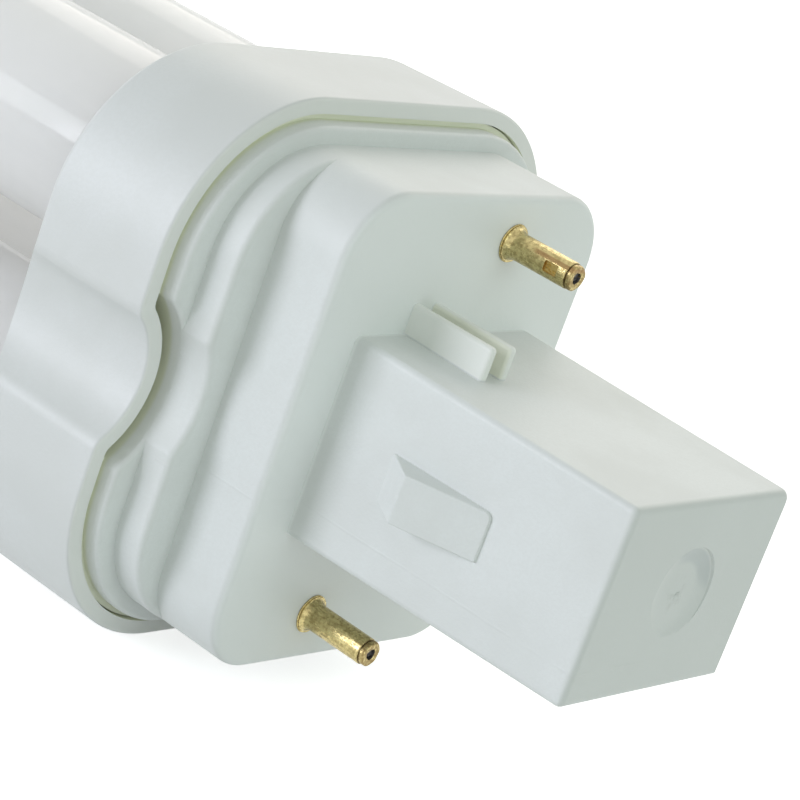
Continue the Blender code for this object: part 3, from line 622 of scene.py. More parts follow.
def new_group(name, inputs, outputs):
    """Start a shader group with named sockets; give its tree, its inputs and its end."""
    tree = bpy.data.node_groups.new(name, "ShaderNodeTree")
    for label, kind, value in inputs:
        socket = tree.interface.new_socket(name=label, in_out="INPUT", socket_type=kind)
        if value is not None:
            socket.default_value = value
    for label, kind in outputs:
        tree.interface.new_socket(name=label, in_out="OUTPUT", socket_type=kind)
    return tree, tree.nodes.new("NodeGroupInput").outputs, tree.nodes.new("NodeGroupOutput")


def moulded_skin_group():
    """Moulded plastic: faint blotches, rare specks, fine grain and an uneven gloss."""
    tree = bpy.data.node_groups.get("Moulded Skin")
    if tree:
        return tree
    tree, given, end = new_group("Moulded Skin", [
        ("Place", "NodeSocketVector", None),
        ("Colour", "NodeSocketColor", (0.7, 0.7, 0.7, 1.0)),
        ("Shade", "NodeSocketColor", (0.6, 0.6, 0.6, 1.0)),
        ("Speck Colour", "NodeSocketColor", (0.2, 0.2, 0.18, 1.0)),
        ("Blotch Scale", "NodeSocketFloat", 120.0),
        ("Grain Scale", "NodeSocketFloat", 6000.0),
        ("Speck Scale", "NodeSocketFloat", 700.0),
        ("Speck Rarity", "NodeSocketFloat", 0.985),
        ("Roughness", "NodeSocketFloat", 0.4)],
        [("Colour", "NodeSocketColor"), ("Roughness", "NodeSocketFloat"),
         ("Height", "NodeSocketFloat")])
    place = given["Place"]
    blotch = noise(tree, place, given["Blotch Scale"], 4.0, 0.55)
    base = blend(tree, ramp(tree, blotch, 0.38, 0.66), given["Colour"], given["Shade"])
    cells = add(tree, "ShaderNodeTexVoronoi", {"Vector": place, "Scale": given["Speck Scale"],
                                               "Randomness": 1.0})
    lot = add(tree, "ShaderNodeSeparateColor", {0: cells.outputs["Color"]}).outputs[0]
    chosen = calculate(tree, "GREATER_THAN", lot, given["Speck Rarity"])
    spot = ramp(tree, cells.outputs["Distance"], 0.05, 0.14, 1.0, 0.0)
    speck = calculate(tree, "MULTIPLY", chosen, spot)
    tinted = blend(tree, calculate(tree, "MULTIPLY", speck, 0.55), base, given["Speck Colour"])
    grain = noise(tree, place, given["Grain Scale"], 2.0, 0.6)
    grainy = blend(tree, ramp(tree, grain, 0.36, 0.64, 0.0, 0.35), tinted, given["Shade"])
    soft = sway(tree, blotch, 0.10, sway(tree, grain, 0.12, given["Roughness"]))
    height = calculate(tree, "MULTIPLY_ADD", speck, -0.8, grain)
    tree.links.new(grainy, end.inputs["Colour"])
    tree.links.new(soft, end.inputs["Roughness"])
    tree.links.new(height, end.inputs["Height"])
    return tree


def seam_group():
    """Faint raised line that the mould's halves leave at one height of the lamp."""
    tree = bpy.data.node_groups.get("Mould Seam")
    if tree:
        return tree
    tree, given, end = new_group("Mould Seam", [
        ("Place", "NodeSocketVector", None), ("Level", "NodeSocketFloat", 0.0),
        ("Width", "NodeSocketFloat", 0.0001)], [("Mask", "NodeSocketFloat")])
    axes = add(tree, "ShaderNodeSeparateXYZ", {0: given["Place"]}).outputs
    drift = sway(tree, noise(tree, given["Place"], 140.0, 2.0), 0.0003, axes["Z"])
    line = ramp(tree, apart(tree, drift, given["Level"]), 0.0, given["Width"], 1.0, 0.0)
    breaks = ramp(tree, noise(tree, given["Place"], 420.0, 2.0), 0.40, 0.58)
    tree.links.new(calculate(tree, "MULTIPLY", line, breaks), end.inputs["Mask"])
    return tree


def worn_metal_group():
    """Handled metal: clean and tarnished patches, dark stains, marks along the lamp."""
    tree = bpy.data.node_groups.get("Worn Metal")
    if tree:
        return tree
    tree, given, end = new_group("Worn Metal", [
        ("Place", "NodeSocketVector", None),
        ("Clean", "NodeSocketColor", (0.8, 0.8, 0.8, 1.0)),
        ("Tarnish", "NodeSocketColor", (0.5, 0.5, 0.5, 1.0)),
        ("Stain", "NodeSocketColor", (0.1, 0.1, 0.1, 1.0)),
        ("Patch Scale", "NodeSocketFloat", 1500.0),
        ("Stain Scale", "NodeSocketFloat", 3000.0),
        ("Tarnish Amount", "NodeSocketFloat", 0.5),
        ("Roughness", "NodeSocketFloat", 0.3)],
        [("Colour", "NodeSocketColor"), ("Roughness", "NodeSocketFloat"),
         ("Height", "NodeSocketFloat")])
    place = given["Place"]
    patches = noise(tree, place, given["Patch Scale"], 5.0, 0.62)
    drawn = add(tree, "ShaderNodeMapping", {"Vector": place, "Scale": (0.16, 1.0, 1.0)})
    marks = noise(tree, drawn.outputs[0], 7000.0, 3.0, 0.6)
    mixed = sway(tree, marks, 0.5, patches)
    dulled = calculate(tree, "MULTIPLY", ramp(tree, mixed, 0.36, 0.70), given["Tarnish Amount"])
    base = blend(tree, dulled, given["Clean"], given["Tarnish"])
    stains = noise(tree, place, given["Stain Scale"], 4.0, 0.7)
    dark = calculate(tree, "MULTIPLY", ramp(tree, stains, 0.60, 0.74), given["Tarnish Amount"])
    tree.links.new(blend(tree, dark, base, given["Stain"]), end.inputs["Colour"])
    rough = calculate(tree, "MULTIPLY_ADD", dulled, 0.16, given["Roughness"])
    rougher = calculate(tree, "MULTIPLY_ADD", dark, 0.25, rough)
    tree.links.new(rougher, end.inputs["Roughness"])
    height = calculate(tree, "MULTIPLY_ADD", dark, -0.6, marks)
    tree.links.new(height, end.inputs["Height"])
    return tree


def place_group(tree, group, **inputs):
    """Put a shader group into a material with its own values."""
    made = tree.nodes.new("ShaderNodeGroup")
    made.node_tree = group
    for key, value in inputs.items():
        socket = made.inputs[key.replace("_", " ")]
        if isinstance(value, bpy.types.NodeSocket):
            tree.links.new(value, socket)
        else:
            socket.default_value = value
    return made.outputs


def new_material(name, **sockets):
    """A material with one Principled shader; give it, its tree, shader and place."""
    material = bpy.data.materials.new(name)
    material.use_nodes = True
    tree = material.node_tree
    shader = tree.nodes["Principled BSDF"]
    for key, value in sockets.items():
        shader.inputs[key.replace("_", " ")].default_value = value
    place = tree.nodes.new("ShaderNodeTexCoord").outputs["Object"]
    return material, tree, shader, place


def raise_surface(tree, shader, height, distance, strength=1.0):
    """Lead a height into the shader, so that the surface looks uneven."""
    made = add(tree, "ShaderNodeBump", {"Height": height, "Distance": distance,
                                        "Strength": strength})
    tree.links.new(made.outputs[0], shader.inputs["Normal"])


def feed(tree, shader, tone, roughness):
    """Lead a colour and a roughness into the shader."""
    tree.links.new(tone, shader.inputs["Base Color"])
    tree.links.new(roughness, shader.inputs["Roughness"])


def solid(tone):
    """A colour as the four numbers that a shader takes."""
    return (*tone, 1.0)


def skinned(name, group, relief, sockets, **values):
    """A material whose whole surface is one shader group with its own values."""
    material, tree, shader, place = new_material(name, **sockets)
    skin = place_group(tree, group, Place=place, **values)
    feed(tree, shader, skin["Colour"], skin["Roughness"])
    raise_surface(tree, shader, skin["Height"], relief)
    return material


# Materials


def groove_tones(tree, along, tone):
    """Painted light on the collar where it meets the rim, and lighter, olive painted light down in
    the groove.
    """
    cap = bpy.context.scene.lamp_cap
    rim = rim_place()
    # Painted light beside the rim and in the groove
    skirt = ramp(tree, along, rim, rim + 1.4 * cap.groove_fade, 0.9, 0.0)
    tone = blend(tree, skirt, tone, solid(cap.skirt))
    deep = ramp(tree, along, rim - cap.groove_fade / 2, rim + cap.groove_fade / 10, 0.9, 0.0)
    return blend(tree, deep, tone, solid(cap.groove))


def face_tones(tree, axes, tone):
    """Painted light on the pin face, and on the ribs, most of all between the two."""
    cap, plug = bpy.context.scene.lamp_cap, bpy.context.scene.lamp_plug
    face = face_place()
    # Painted light on the pin face
    beside = ramp(tree, apart(tree, axes["X"], face), *FACE_BAND, 0.9, 0.0)
    tone = blend(tree, beside, tone, solid(cap.painted_face_light))
    post_top = MIDDLE_UP + plug.root_height / 2
    fall = ((plug.root_height - plug.tip_height) / 2 - plug.tip_off_y) / plug.post_length
    level = calculate(tree, "MULTIPLY_ADD", calculate(tree, "SUBTRACT", axes["X"], face), fall,
                      axes["Z"])
    # Painted light on the ribs, brighter between the two
    above = ramp(tree, level, *[post_top + part for part in RIB_FOOT], 0.0, 0.95)
    before = ramp(tree, axes["X"], face, face + RIB_FRONT)
    second = plug.key_pitch - plug.key_place
    between = band(tree, axes["Y"], [second + part for part in RIB_GAP_RISE],
                   [second + part for part in RIB_GAP_FALL])
    ribs = blend(tree, between, solid(cap.painted_rib_light), solid(cap.key_glow))
    return blend(tree, calculate(tree, "MULTIPLY", above, before), tone, ribs)


def end_tones(tree, place, along, tone):
    """Painted shade on the post's end and in its dimple, deeper on the dimple's one side, and marks
    round the gate.
    """
    cap, plug = bpy.context.scene.lamp_cap, bpy.context.scene.lamp_plug
    # Painted shade on the post's end and in the dimple
    ending = ramp(tree, along, *[CAD_HIGH.x + part for part in END_BAND], 0.0, 0.8)
    centred = add(tree, "ShaderNodeMapping", {
        "Vector": place, "Location": (-CAD_HIGH.x, 0.0, -MIDDLE_UP)}).outputs[0]
    reach = add(tree, "ShaderNodeVectorMath", {0: centred}, operation="LENGTH").outputs["Value"]
    disc = ramp(tree, reach, *[plug.dimple_diameter * part for part in DISC_RIM], 0.8, 0.0)
    tone = blend(tree, calculate(tree, "MAXIMUM", ending, disc), tone, solid(cap.painted_end_shade))
    spot = add(tree, "ShaderNodeVectorMath", {0: centred, 1: HOLLOW_SIDE},
               operation="DOT_PRODUCT").outputs["Value"]
    ring = calculate(tree, "MULTIPLY", band(tree, reach, *HOLLOW_RING),
                     ramp(tree, spot, *HOLLOW_RISE))
    tone = blend(tree, calculate(tree, "MULTIPLY", ring, 0.9), tone, solid(cap.hollow))
    close = ramp(tree, reach, cap.mark_reach / 7, cap.mark_reach, 0.8, 0.0)
    marks = calculate(tree, "MULTIPLY", close, ramp(tree, noise(tree, place, 1700.0), 0.46, 0.70))
    return blend(tree, marks, tone, solid(cap.mark))


def cap_plastic():
    """Dull white plastic of the cap with its mould seam and gate marks, painted light beside the
    rim, in the groove, on the pin face and ribs, and painted shade on the post's end.
    """
    cap = bpy.context.scene.lamp_cap
    material, tree, shader, place = new_material("Cap Plastic", IOR=1.46)
    skin = place_group(tree, moulded_skin_group(), Place=place, Colour=solid(cap.plastic),
                       Shade=solid(cap.shade), Speck_Colour=(0.30, 0.31, 0.27, 1.0),
                       Blotch_Scale=150.0, Grain_Scale=5200.0, Speck_Scale=560.0,
                       Speck_Rarity=0.988, Roughness=0.49)
    seam = place_group(tree, seam_group(), Place=place, Level=cap.seam_level,
                       Width=cap.seam_width)
    axes = add(tree, "ShaderNodeSeparateXYZ", {0: place}).outputs
    tone = groove_tones(tree, axes["X"], skin["Colour"])
    tone = face_tones(tree, axes, tone)
    tone = end_tones(tree, place, axes["X"], tone)
    feed(tree, shader, tone, skin["Roughness"])
    height = calculate(tree, "MULTIPLY_ADD", seam["Mask"], 0.9, skin["Height"])
    raise_surface(tree, shader, height, 0.000012)
    return material


def shell_plastic():
    """The shell's plastic, a little warmer and smoother than the cap's, with painted light along
    the rim's front edge.
    """
    shell = bpy.context.scene.lamp_shell
    material, tree, shader, place = new_material("Shell Plastic", IOR=1.46)
    skin = place_group(tree, moulded_skin_group(), Place=place, Colour=solid(shell.plastic),
                       Shade=solid(shell.shade), Speck_Colour=(0.32, 0.33, 0.28, 1.0),
                       Blotch_Scale=105.0, Grain_Scale=4300.0, Speck_Scale=480.0,
                       Speck_Rarity=0.990, Roughness=0.46)
    rim = rim_place()
    along = add(tree, "ShaderNodeSeparateXYZ", {0: place}).outputs["X"]
    # Painted light along the rim's front edge
    edge = ramp(tree, along, rim - shell.rim_edge / 2, rim - shell.rim_edge / 8, 0.0, 0.9)
    tone = blend(tree, edge, skin["Colour"], solid(shell.painted_rim_light))
    feed(tree, shader, tone, skin["Roughness"])
    raise_surface(tree, shader, skin["Height"], 0.000010)
    return material


def painted_shell_inside_light():
    """The shell's inner wall, all painted light: a lighter olive tone near the rim where light
    would shine through, and an olive tone further down.
    """
    shell = bpy.context.scene.lamp_shell
    material, tree, shader, place = new_material("Shell Inside Painted Light", IOR=1.46)
    rim = rim_place()
    along = add(tree, "ShaderNodeSeparateXYZ", {0: place}).outputs["X"]
    uneven = sway(tree, noise(tree, place, 900.0), shell.glow_depth, along)
    # Painted light over the whole inner wall
    deep = ramp(tree, uneven, rim - 2 * shell.glow_depth, rim - shell.glow_depth / 2, 1.0, 0.0)
    skin = place_group(tree, moulded_skin_group(), Place=place, Colour=solid(shell.rim_glow),
                       Shade=solid(shell.rim_glow), Roughness=0.5)
    feed(tree, shader, blend(tree, deep, skin["Colour"], solid(shell.inside)), skin["Roughness"])
    raise_surface(tree, shader, skin["Height"], 0.000010)
    return material


def coated_glass():
    """Clear glass over a white powder coat that is a little uneven."""
    glass = bpy.context.scene.lamp_glass
    # Emission Strength is a painted glow, standing in for light that the coat carries round
    material, tree, shader, place = new_material(
        "Coated Glass", Coat_Weight=0.4, Coat_Roughness=0.05, Coat_IOR=1.5, IOR=1.15,
        Subsurface_Weight=1.0, Subsurface_Scale=0.04, Subsurface_Radius=(1.0, 1.0, 1.0),
        Emission_Color=(1.0, 0.98, 0.94, 1.0), Emission_Strength=glass.painted_glow)
    cloud = noise(tree, place, 90.0, 4.0, 0.5)
    stretched = add(tree, "ShaderNodeMapping", {"Vector": place, "Scale": (0.12, 1.0, 1.0)})
    uneven = sway(tree, noise(tree, stretched.outputs[0], 700.0, 3.0, 0.55), 0.35, cloud)
    powder = blend(tree, ramp(tree, uneven, 0.40, 0.72), solid(glass.coating),
                   solid(glass.thin_coating))
    feed(tree, shader, powder, ramp(tree, cloud, 0.3, 0.7, 0.5, 0.62))
    raise_surface(tree, shader, noise(tree, place, 60.0, 2.0, 0.4), 0.00008, 0.5)
    return material


def pin_brass():
    """Handled brass: fine mottled tarnish, a dark line round the neck, a browner, dirtier rim and a
    painted dark reflection along the upper pin's top.
    """
    pins = bpy.context.scene.lamp_pins
    material, tree, shader, place = new_material("Pin Brass", Metallic=1.0)
    worn = place_group(tree, worn_metal_group(), Place=place, Clean=solid(pins.brass),
                       Tarnish=solid(pins.tarnish), Stain=solid(pins.grime),
                       Patch_Scale=4200.0, Stain_Scale=9000.0, Tarnish_Amount=0.95,
                       Roughness=0.22)
    axes = add(tree, "ShaderNodeSeparateXYZ", {0: place}).outputs
    tip = face_place() + pins.pin_length
    neck = tip - pins.rim_length
    burnt = ramp(tree, axes["X"], *[neck + part for part in BURNT_EDGE], 0.0, 0.9)
    brown = calculate(tree, "MULTIPLY", burnt, ramp(tree, noise(tree, place, 6000.0), 0.30, 0.60))
    tone = blend(tree, brown, worn["Colour"], solid(pins.rim_brown))
    # Painted dark reflection: a brown strip along the top of the upper pin
    upper = MIDDLE_UP + pins.place_y + pins.diameter * 0.29
    beside = ramp(tree, apart(tree, axes["Z"], upper), *DARK_REFLECTION_BAND, 0.8, 0.0)
    before = ramp(tree, axes["X"], *[tip - part for part in DARK_REFLECTION_START])
    dark_reflection = calculate(tree, "MULTIPLY", beside, before)
    tone = blend(tree, dark_reflection, tone, solid(pins.painted_dark_reflection))
    # Dark line round the neck, in its groove
    neck_line = ramp(tree, apart(tree, axes["X"], neck), *NECK_LINE, 0.7, 0.0)
    tone = blend(tree, neck_line, tone, solid(pins.grime))
    feed(tree, shader, tone, calculate(tree, "MULTIPLY_ADD", brown, 0.2, worn["Roughness"]))
    raise_surface(tree, shader, worn["Height"], 0.00003)
    return material


def flux_brown():
    """Brown flux in a pin's window, with bright scratches."""
    pins = bpy.context.scene.lamp_pins
    material, tree, shader, place = new_material("Flux Brown", Metallic=0.9)
    worn = place_group(tree, worn_metal_group(), Place=place, Clean=solid(pins.brass),
                       Tarnish=solid(pins.flux), Stain=solid(pins.grime),
                       Patch_Scale=5200.0, Stain_Scale=5000.0, Tarnish_Amount=1.0,
                       Roughness=0.35)
    feed(tree, shader, blend(tree, 0.55, worn["Colour"], solid(pins.flux)), worn["Roughness"])
    raise_surface(tree, shader, worn["Height"], 0.00004)
    return material


def bore_dirt():
    """Dark wire end and dirt in a pin's bore."""
    return skinned("Bore Dirt", worn_metal_group(), 0.00004, {"Metallic": 0.8},
                   Clean=(0.15, 0.14, 0.14, 1.0), Tarnish=(0.045, 0.038, 0.03, 1.0),
                   Stain=(0.02, 0.02, 0.02, 1.0), Patch_Scale=6000.0, Stain_Scale=4000.0,
                   Tarnish_Amount=1.0, Roughness=0.4)


def tinned_wire():
    """Dull tinned wire."""
    return skinned("Tinned Wire", worn_metal_group(), 0.000015, {"Metallic": 1.0},
                   Clean=(0.62, 0.61, 0.58, 1.0), Tarnish=(0.33, 0.32, 0.30, 1.0),
                   Stain=(0.12, 0.11, 0.10, 1.0), Patch_Scale=2400.0, Stain_Scale=4200.0,
                   Tarnish_Amount=0.7, Roughness=0.28)


def joint_metal():
    """Plated metal of the crimped joints."""
    return skinned("Joint Metal", worn_metal_group(), 0.00003, {"Metallic": 1.0},
                   Clean=(0.66, 0.65, 0.62, 1.0), Tarnish=(0.45, 0.43, 0.38, 1.0),
                   Stain=(0.16, 0.14, 0.11, 1.0), Patch_Scale=1200.0, Stain_Scale=2600.0,
                   Tarnish_Amount=0.5, Roughness=0.34)


def grey_cement():
    """Coarse cement with pale grains and pores."""
    return skinned("Grey Cement", moulded_skin_group(), 0.00012, {"IOR": 1.5},
                   Colour=(0.56, 0.55, 0.51, 1.0), Shade=(0.42, 0.41, 0.37, 1.0),
                   Speck_Colour=(0.16, 0.15, 0.13, 1.0), Blotch_Scale=520.0,
                   Grain_Scale=2100.0, Speck_Scale=900.0, Speck_Rarity=0.82, Roughness=0.86)


def capacitor_resin():
    """Brown dipped resin, glossy and slightly wavy."""
    return skinned("Capacitor Resin", moulded_skin_group(), 0.00006,
                   {"IOR": 1.52, "Coat_Weight": 0.5, "Coat_Roughness": 0.12},
                   Colour=(0.42, 0.15, 0.045, 1.0), Shade=(0.33, 0.11, 0.03, 1.0),
                   Speck_Colour=(0.10, 0.03, 0.01, 1.0), Blotch_Scale=380.0,
                   Grain_Scale=900.0, Speck_Scale=1300.0, Speck_Rarity=0.95, Roughness=0.34)


def starter_glass():
    """Thin clear glass, with a grey film towards the bottle's closed end."""
    material, tree, shader, place = new_material("Starter Glass", Transmission_Weight=0.85,
                                                 IOR=1.47)
    low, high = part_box("glow_bottle")
    along = add(tree, "ShaderNodeSeparateXYZ", {0: place}).outputs["X"]
    film = ramp(tree, along, (low.x + 2 * high.x) / 3, high.x)
    cloud = noise(tree, place, 500.0, 3.0)
    amount = calculate(tree, "MULTIPLY", film, ramp(tree, cloud, 0.3, 0.6))
    tone = blend(tree, amount, (0.86, 0.92, 0.90, 1.0), (0.30, 0.31, 0.32, 1.0))
    feed(tree, shader, tone, ramp(tree, amount, 0.0, 1.0, 0.04, 0.30))
    return material


def sleeve_fibre():
    """White glass-fibre sleeve with its braid."""
    material, tree, shader, place = new_material("Sleeve Fibre", IOR=1.4)
    waves = []
    for turn in (radians(45), radians(-45)):
        laid = add(tree, "ShaderNodeMapping", {"Vector": place, "Rotation": (0.0, turn, turn)})
        made = add(tree, "ShaderNodeTexWave", {"Vector": laid.outputs[0], "Scale": 900.0,
                                               "Distortion": 1.5, "Detail": 1.0})
        waves.append(made.outputs["Fac"])
    braid = calculate(tree, "MAXIMUM", *waves)
    tone = blend(tree, braid, (0.55, 0.53, 0.47, 1.0), (0.80, 0.79, 0.74, 1.0))
    feed(tree, shader, tone, ramp(tree, braid, 0.0, 1.0, 0.9, 0.7))
    raise_surface(tree, shader, braid, 0.00005)
    return material


# Pieces


def flute_of(scene, extra, cusp=0.0):
    """A flute that stands off the shell's own by extra."""
    shell = scene.lamp_shell
    return shell.width / 2 + shell.flute_outside, shell.flute_radius + extra, cusp


def leg_places(glass):
    """Middle of each of the four legs, before the glass is twisted."""
    x = (glass.tube_diameter + glass.pair_gap) / 2
    y = (glass.tube_diameter + glass.bend_gap) / 2
    return [(side_x * x, side_y * y) for side_x in (-1, 1) for side_y in (-1, 1)]


def twist_glass(glass, work):
    """Turn a shape of glass about the lamp's axis."""
    bmesh.ops.rotate(work, cent=(0.0, 0.0, 0.0), matrix=Matrix.Rotation(glass.twist, 3, "Z"),
                     verts=work.verts[:])


def tail_form(shell, half, corner, rear, tail, front):
    """Form that the shell is trimmed to: wide in front, and sloped behind the rear edge."""
    soft = shell.rim_edge
    rise = tan(shell.tail_slope)
    work = bmesh.new()
    round_rectangle(work, half, half, corner)
    thicken(work, 0.0, 1.0)
    rings = [(tail - REACH, -shell.tail_inset - REACH / rise), (rear - soft * rise, -soft)]
    for step in range(1, EDGE_STEPS + 1):
        part = step / EDGE_STEPS
        rings.append((rear + soft * (part - (1 - part) * rise), -soft * (1 - part) ** 2))
    rings.append((rear + 2 * soft, REACH))
    rings.append((front + REACH, REACH))
    levels = len(rings)
    cuts = [edge for edge in work.edges if runs_along(edge)]
    bmesh.ops.subdivide_edges(work, edges=cuts, cuts=levels - 2, use_grid_fill=False)
    for vert in work.verts:
        level, extra = rings[round(vert.co.z * (levels - 1))]
        vert.co = (vert.co.x * (half + extra) / half, vert.co.y * (half + extra) / half, level)
    bmesh.ops.recalc_face_normals(work, faces=work.faces[:])
    return work


def build_shell(scene):
    """Cup round the tube ends, open to the front, with a hole for each leg."""
    shell, glass = scene.lamp_shell, scene.lamp_glass
    half = shell.width / 2
    corner = half - shell.flat
    front = -shell.depth
    rear = front - shell.shell_length
    inner = half - shell.wall
    tail = rear - shell.tail_inset * tan(shell.tail_slope)
    outside = slab((half, half, corner, flute_of(scene, 0.0, shell.cusp_round)), tail, front,
                   shell.rim_edge)
    room = slab((inner, inner, corner - shell.wall,
                 flute_of(scene, shell.wall, shell.cusp_round - shell.wall / 2)),
                rear + shell.floor, front + REACH)
    steps = [("INTERSECT", tail_form(shell, half, corner, rear, tail, front)),
             ("DIFFERENCE", room)]
    for x, y in leg_places(glass):
        hole = rod(glass.tube_diameter / 2 + shell.rim_edge, tail - REACH,
                   rear + shell.floor + REACH, x, y)
        twist_glass(glass, hole)
        steps.append(("DIFFERENCE", hole))
    item = combine("fluted_shell", outside, steps)
    for vert in item.data.vertices:
        if vert.co.y > 0:
            part = (front - vert.co.z) / shell.shell_length
            vert.co.y *= 1 - part * shell.draft / half
    return item


def catch_shape(plug, side):
    """Wedge on the side of the post, with a steep back and a long ramp."""

    def post_side(z):
        """Half width of the post at a place along it."""
        return (plug.root_width + (plug.tip_width - plug.root_width) * z / plug.post_length) / 2

    work = bmesh.new()
    spots = [(post_side(plug.catch_start) - REACH, plug.catch_start),
             (post_side(plug.catch_start), plug.catch_start),
             (post_side(plug.catch_crest) + plug.catch_height, plug.catch_crest),
             (post_side(plug.catch_end) + plug.catch_end_height, plug.catch_end),
             (post_side(plug.catch_end) - REACH, plug.catch_end)]
    work.faces.new([work.verts.new((side * x, -plug.catch_width / 2, z)) for x, z in spots])
    pull(work, 0.0, plug.catch_width, 0.0)
    corner = [edge for edge in work.edges if lies_at(edge, plug.catch_end)
              and all(vert.co.y > 0 for vert in edge.verts)]
    round_off(work, corner, plug.catch_corner, CUSP_STEPS)
    inner = min(abs(x) for x, _ in spots) + WELD
    proud = [edge for edge in work.edges if edge.calc_face_angle() > radians(SMOOTH_ANGLE)
             and all(abs(vert.co.x) > inner for vert in edge.verts)]
    round_off(work, proud, plug.catch_edge / 2, FINE_STEPS)
    return work


def post_shape(plug, root_level):
    """Tapered plug post, with round edges but for the sharp lower right one."""
    post = block(plug.root_width, plug.root_height, plug.tip_width, plug.tip_height,
                 0.0, plug.post_length)
    tip = [vert for vert in post.verts if vert.co.z > 0.0]
    move(post, plug.tip_off_x, plug.tip_off_y, 0.0, tip)
    root = [vert for vert in post.verts if vert.co.z < WELD]
    move(post, 0.0, 0.0, root_level, root)
    far = [edge for edge in post.edges if runs_along(edge)
           and all(vert.co.x > 0 and vert.co.y > 0 for vert in edge.verts)]
    round_off(post, far, plug.far_edge, CUSP_STEPS)
    rounded = [edge for edge in post.edges if not lies_at(edge, root_level)
               and edge.calc_face_angle() > radians(SMOOTH_ANGLE)
               and not (runs_along(edge) and all(vert.co.x > 0 > vert.co.y
                                                 for vert in edge.verts))]
    round_off(post, rounded, plug.edge, POST_STEPS)
    return post


def rib_shape(plug, number):
    """One of the two key ribs on top of the post."""
    bottom = plug.tip_height / 2
    top = plug.root_height / 2 + plug.key_height
    rib = block(plug.key_thickness, top - bottom, plug.key_thickness, top - bottom,
                -REACH, plug.key_length)
    move(rib, number * plug.key_pitch - plug.key_place, (top + bottom) / 2, 0.0)
    shown = [edge for edge in rib.edges if not lies_at(edge, -REACH)
             and not all(vert.co.y < bottom + WELD for vert in edge.verts)]
    round_off(rib, shown, plug.key_edge, POST_STEPS)
    return rib


def dimple_shape(plug, floor):
    """Shallow dish that leans to one side, to sink the dimple with."""
    radius = plug.dimple_diameter / 2
    dish = [(radius * out, floor + plug.dimple_depth * up) for out, up in DISH]
    dish += [(1.1 * radius, plug.post_length + REACH), (0.0, plug.post_length + REACH)]
    dimple = turned(dish, HOLE_SIDES, closed=False)
    bmesh.ops.rotate(dimple, cent=(0.0, 0.0, floor), verts=dimple.verts[:],
                     matrix=Matrix.Rotation(-plug.dimple_tilt, 3, Vector((1.0, -1.0, 0.0))))
    return dimple


def gate_shape(plug, floor):
    """Small lump that the mould's gate left in the dimple."""
    gate = bmesh.new()
    bmesh.ops.create_icosphere(gate, subdivisions=3, radius=plug.gate_size)
    bmesh.ops.scale(gate, vec=GATE_SHAPE, verts=gate.verts[:])
    for number, vert in enumerate(gate.verts):
        vert.co *= 1.0 + 0.10 * sin(7.0 * number) + 0.08 * cos(3.0 * number)
    move(gate, plug.gate_size / 2, -plug.gate_size / 2, floor - plug.gate_size / 20)
    return gate


def build_cap(scene):
    """Collar, shoulder, pin block and hollow post, moulded as one."""
    shell, cap, plug, pins = scene.lamp_shell, scene.lamp_cap, scene.lamp_plug, scene.lamp_pins
    flute = flute_of(scene, shell.wall + cap.flute_gap, cap.cusp_round)
    thin_flute = flute_of(scene, shell.wall + cap.flute_gap + cap.wall)
    half = shell.width / 2 - shell.wall - cap.slip
    ledge = half + cap.slip - cap.ledge_gap
    collar = (half, half, half - shell.flat)
    shoulder = (half - cap.shoulder_step_x, half - cap.shoulder_step_y, cap.shoulder_corner)
    pin_block = (half - cap.block_step_x, half - cap.block_step_y, cap.block_corner)
    rear = -cap.collar_depth - cap.collar_length
    whole = slab(pin_block, -cap.collar_depth - REACH, 0.0, cap.block_edge)
    move(whole, cap.block_off_x, cap.block_off_y, 0.0)
    added = [slab((*shoulder, flute), -cap.collar_depth - 2 * REACH, -cap.shoulder_depth,
                  cap.shoulder_edge),
             slab((*collar, flute), rear, -cap.collar_depth, cap.collar_edge),
             slab((ledge, ledge, ledge - shell.flat, flute), rear + REACH,
                  -shell.depth - cap.ledge_depth),
             post_shape(plug, -cap.face_thickness / 2),
             rib_shape(plug, 0), rib_shape(plug, 1),
             catch_shape(plug, -1), catch_shape(plug, 1)]
    steps = [("UNION", shape) for shape in added]
    rooms = ((collar, cap.wall, thin_flute, -cap.collar_depth - cap.wall),
             (shoulder, cap.wall, thin_flute, -cap.shoulder_depth - cap.wall),
             (pin_block, plug.end_wall, None, -cap.face_thickness))
    for number, (outline, wall, cut, top) in enumerate(rooms):
        inner = [part - wall for part in outline]
        room = slab((*inner, cut, ROOM_STEPS), rear - (number + 1) * REACH, top)
        steps.append(("DIFFERENCE", room))
    hollow = block(plug.root_width - 2 * plug.wall, plug.root_height - 2 * plug.wall,
                   plug.tip_width - 2 * plug.wall, plug.tip_height - 2 * plug.wall,
                   -cap.face_thickness - REACH, plug.post_length - plug.end_wall)
    steps.append(("DIFFERENCE", hollow))
    for side in (-1, 1):
        hole = rod(pins.diameter / 2 + pins.seat, -cap.face_thickness - REACH, REACH,
                   side * pins.place_x, side * pins.place_y, SEAT_SIDES)
        steps.append(("DIFFERENCE", hole))
    floor = plug.post_length - plug.dimple_depth
    steps.append(("DIFFERENCE", dimple_shape(plug, floor)))
    steps.append(("UNION", gate_shape(plug, floor)))
    return combine("plug_cap", whole, steps)


def lengthen(work, ring, rise):
    """Draw a tube out in even steps from the ring at its end; give the new end ring."""
    for _ in range(LEG_RINGS):
        made = bmesh.ops.extrude_edge_only(work, edges=ring)
        ring = [edge for edge in new_items(made, bmesh.types.BMEdge) if edge.is_boundary]
        move(work, 0.0, 0.0, rise / LEG_RINGS, new_items(made, bmesh.types.BMVert))
    return ring


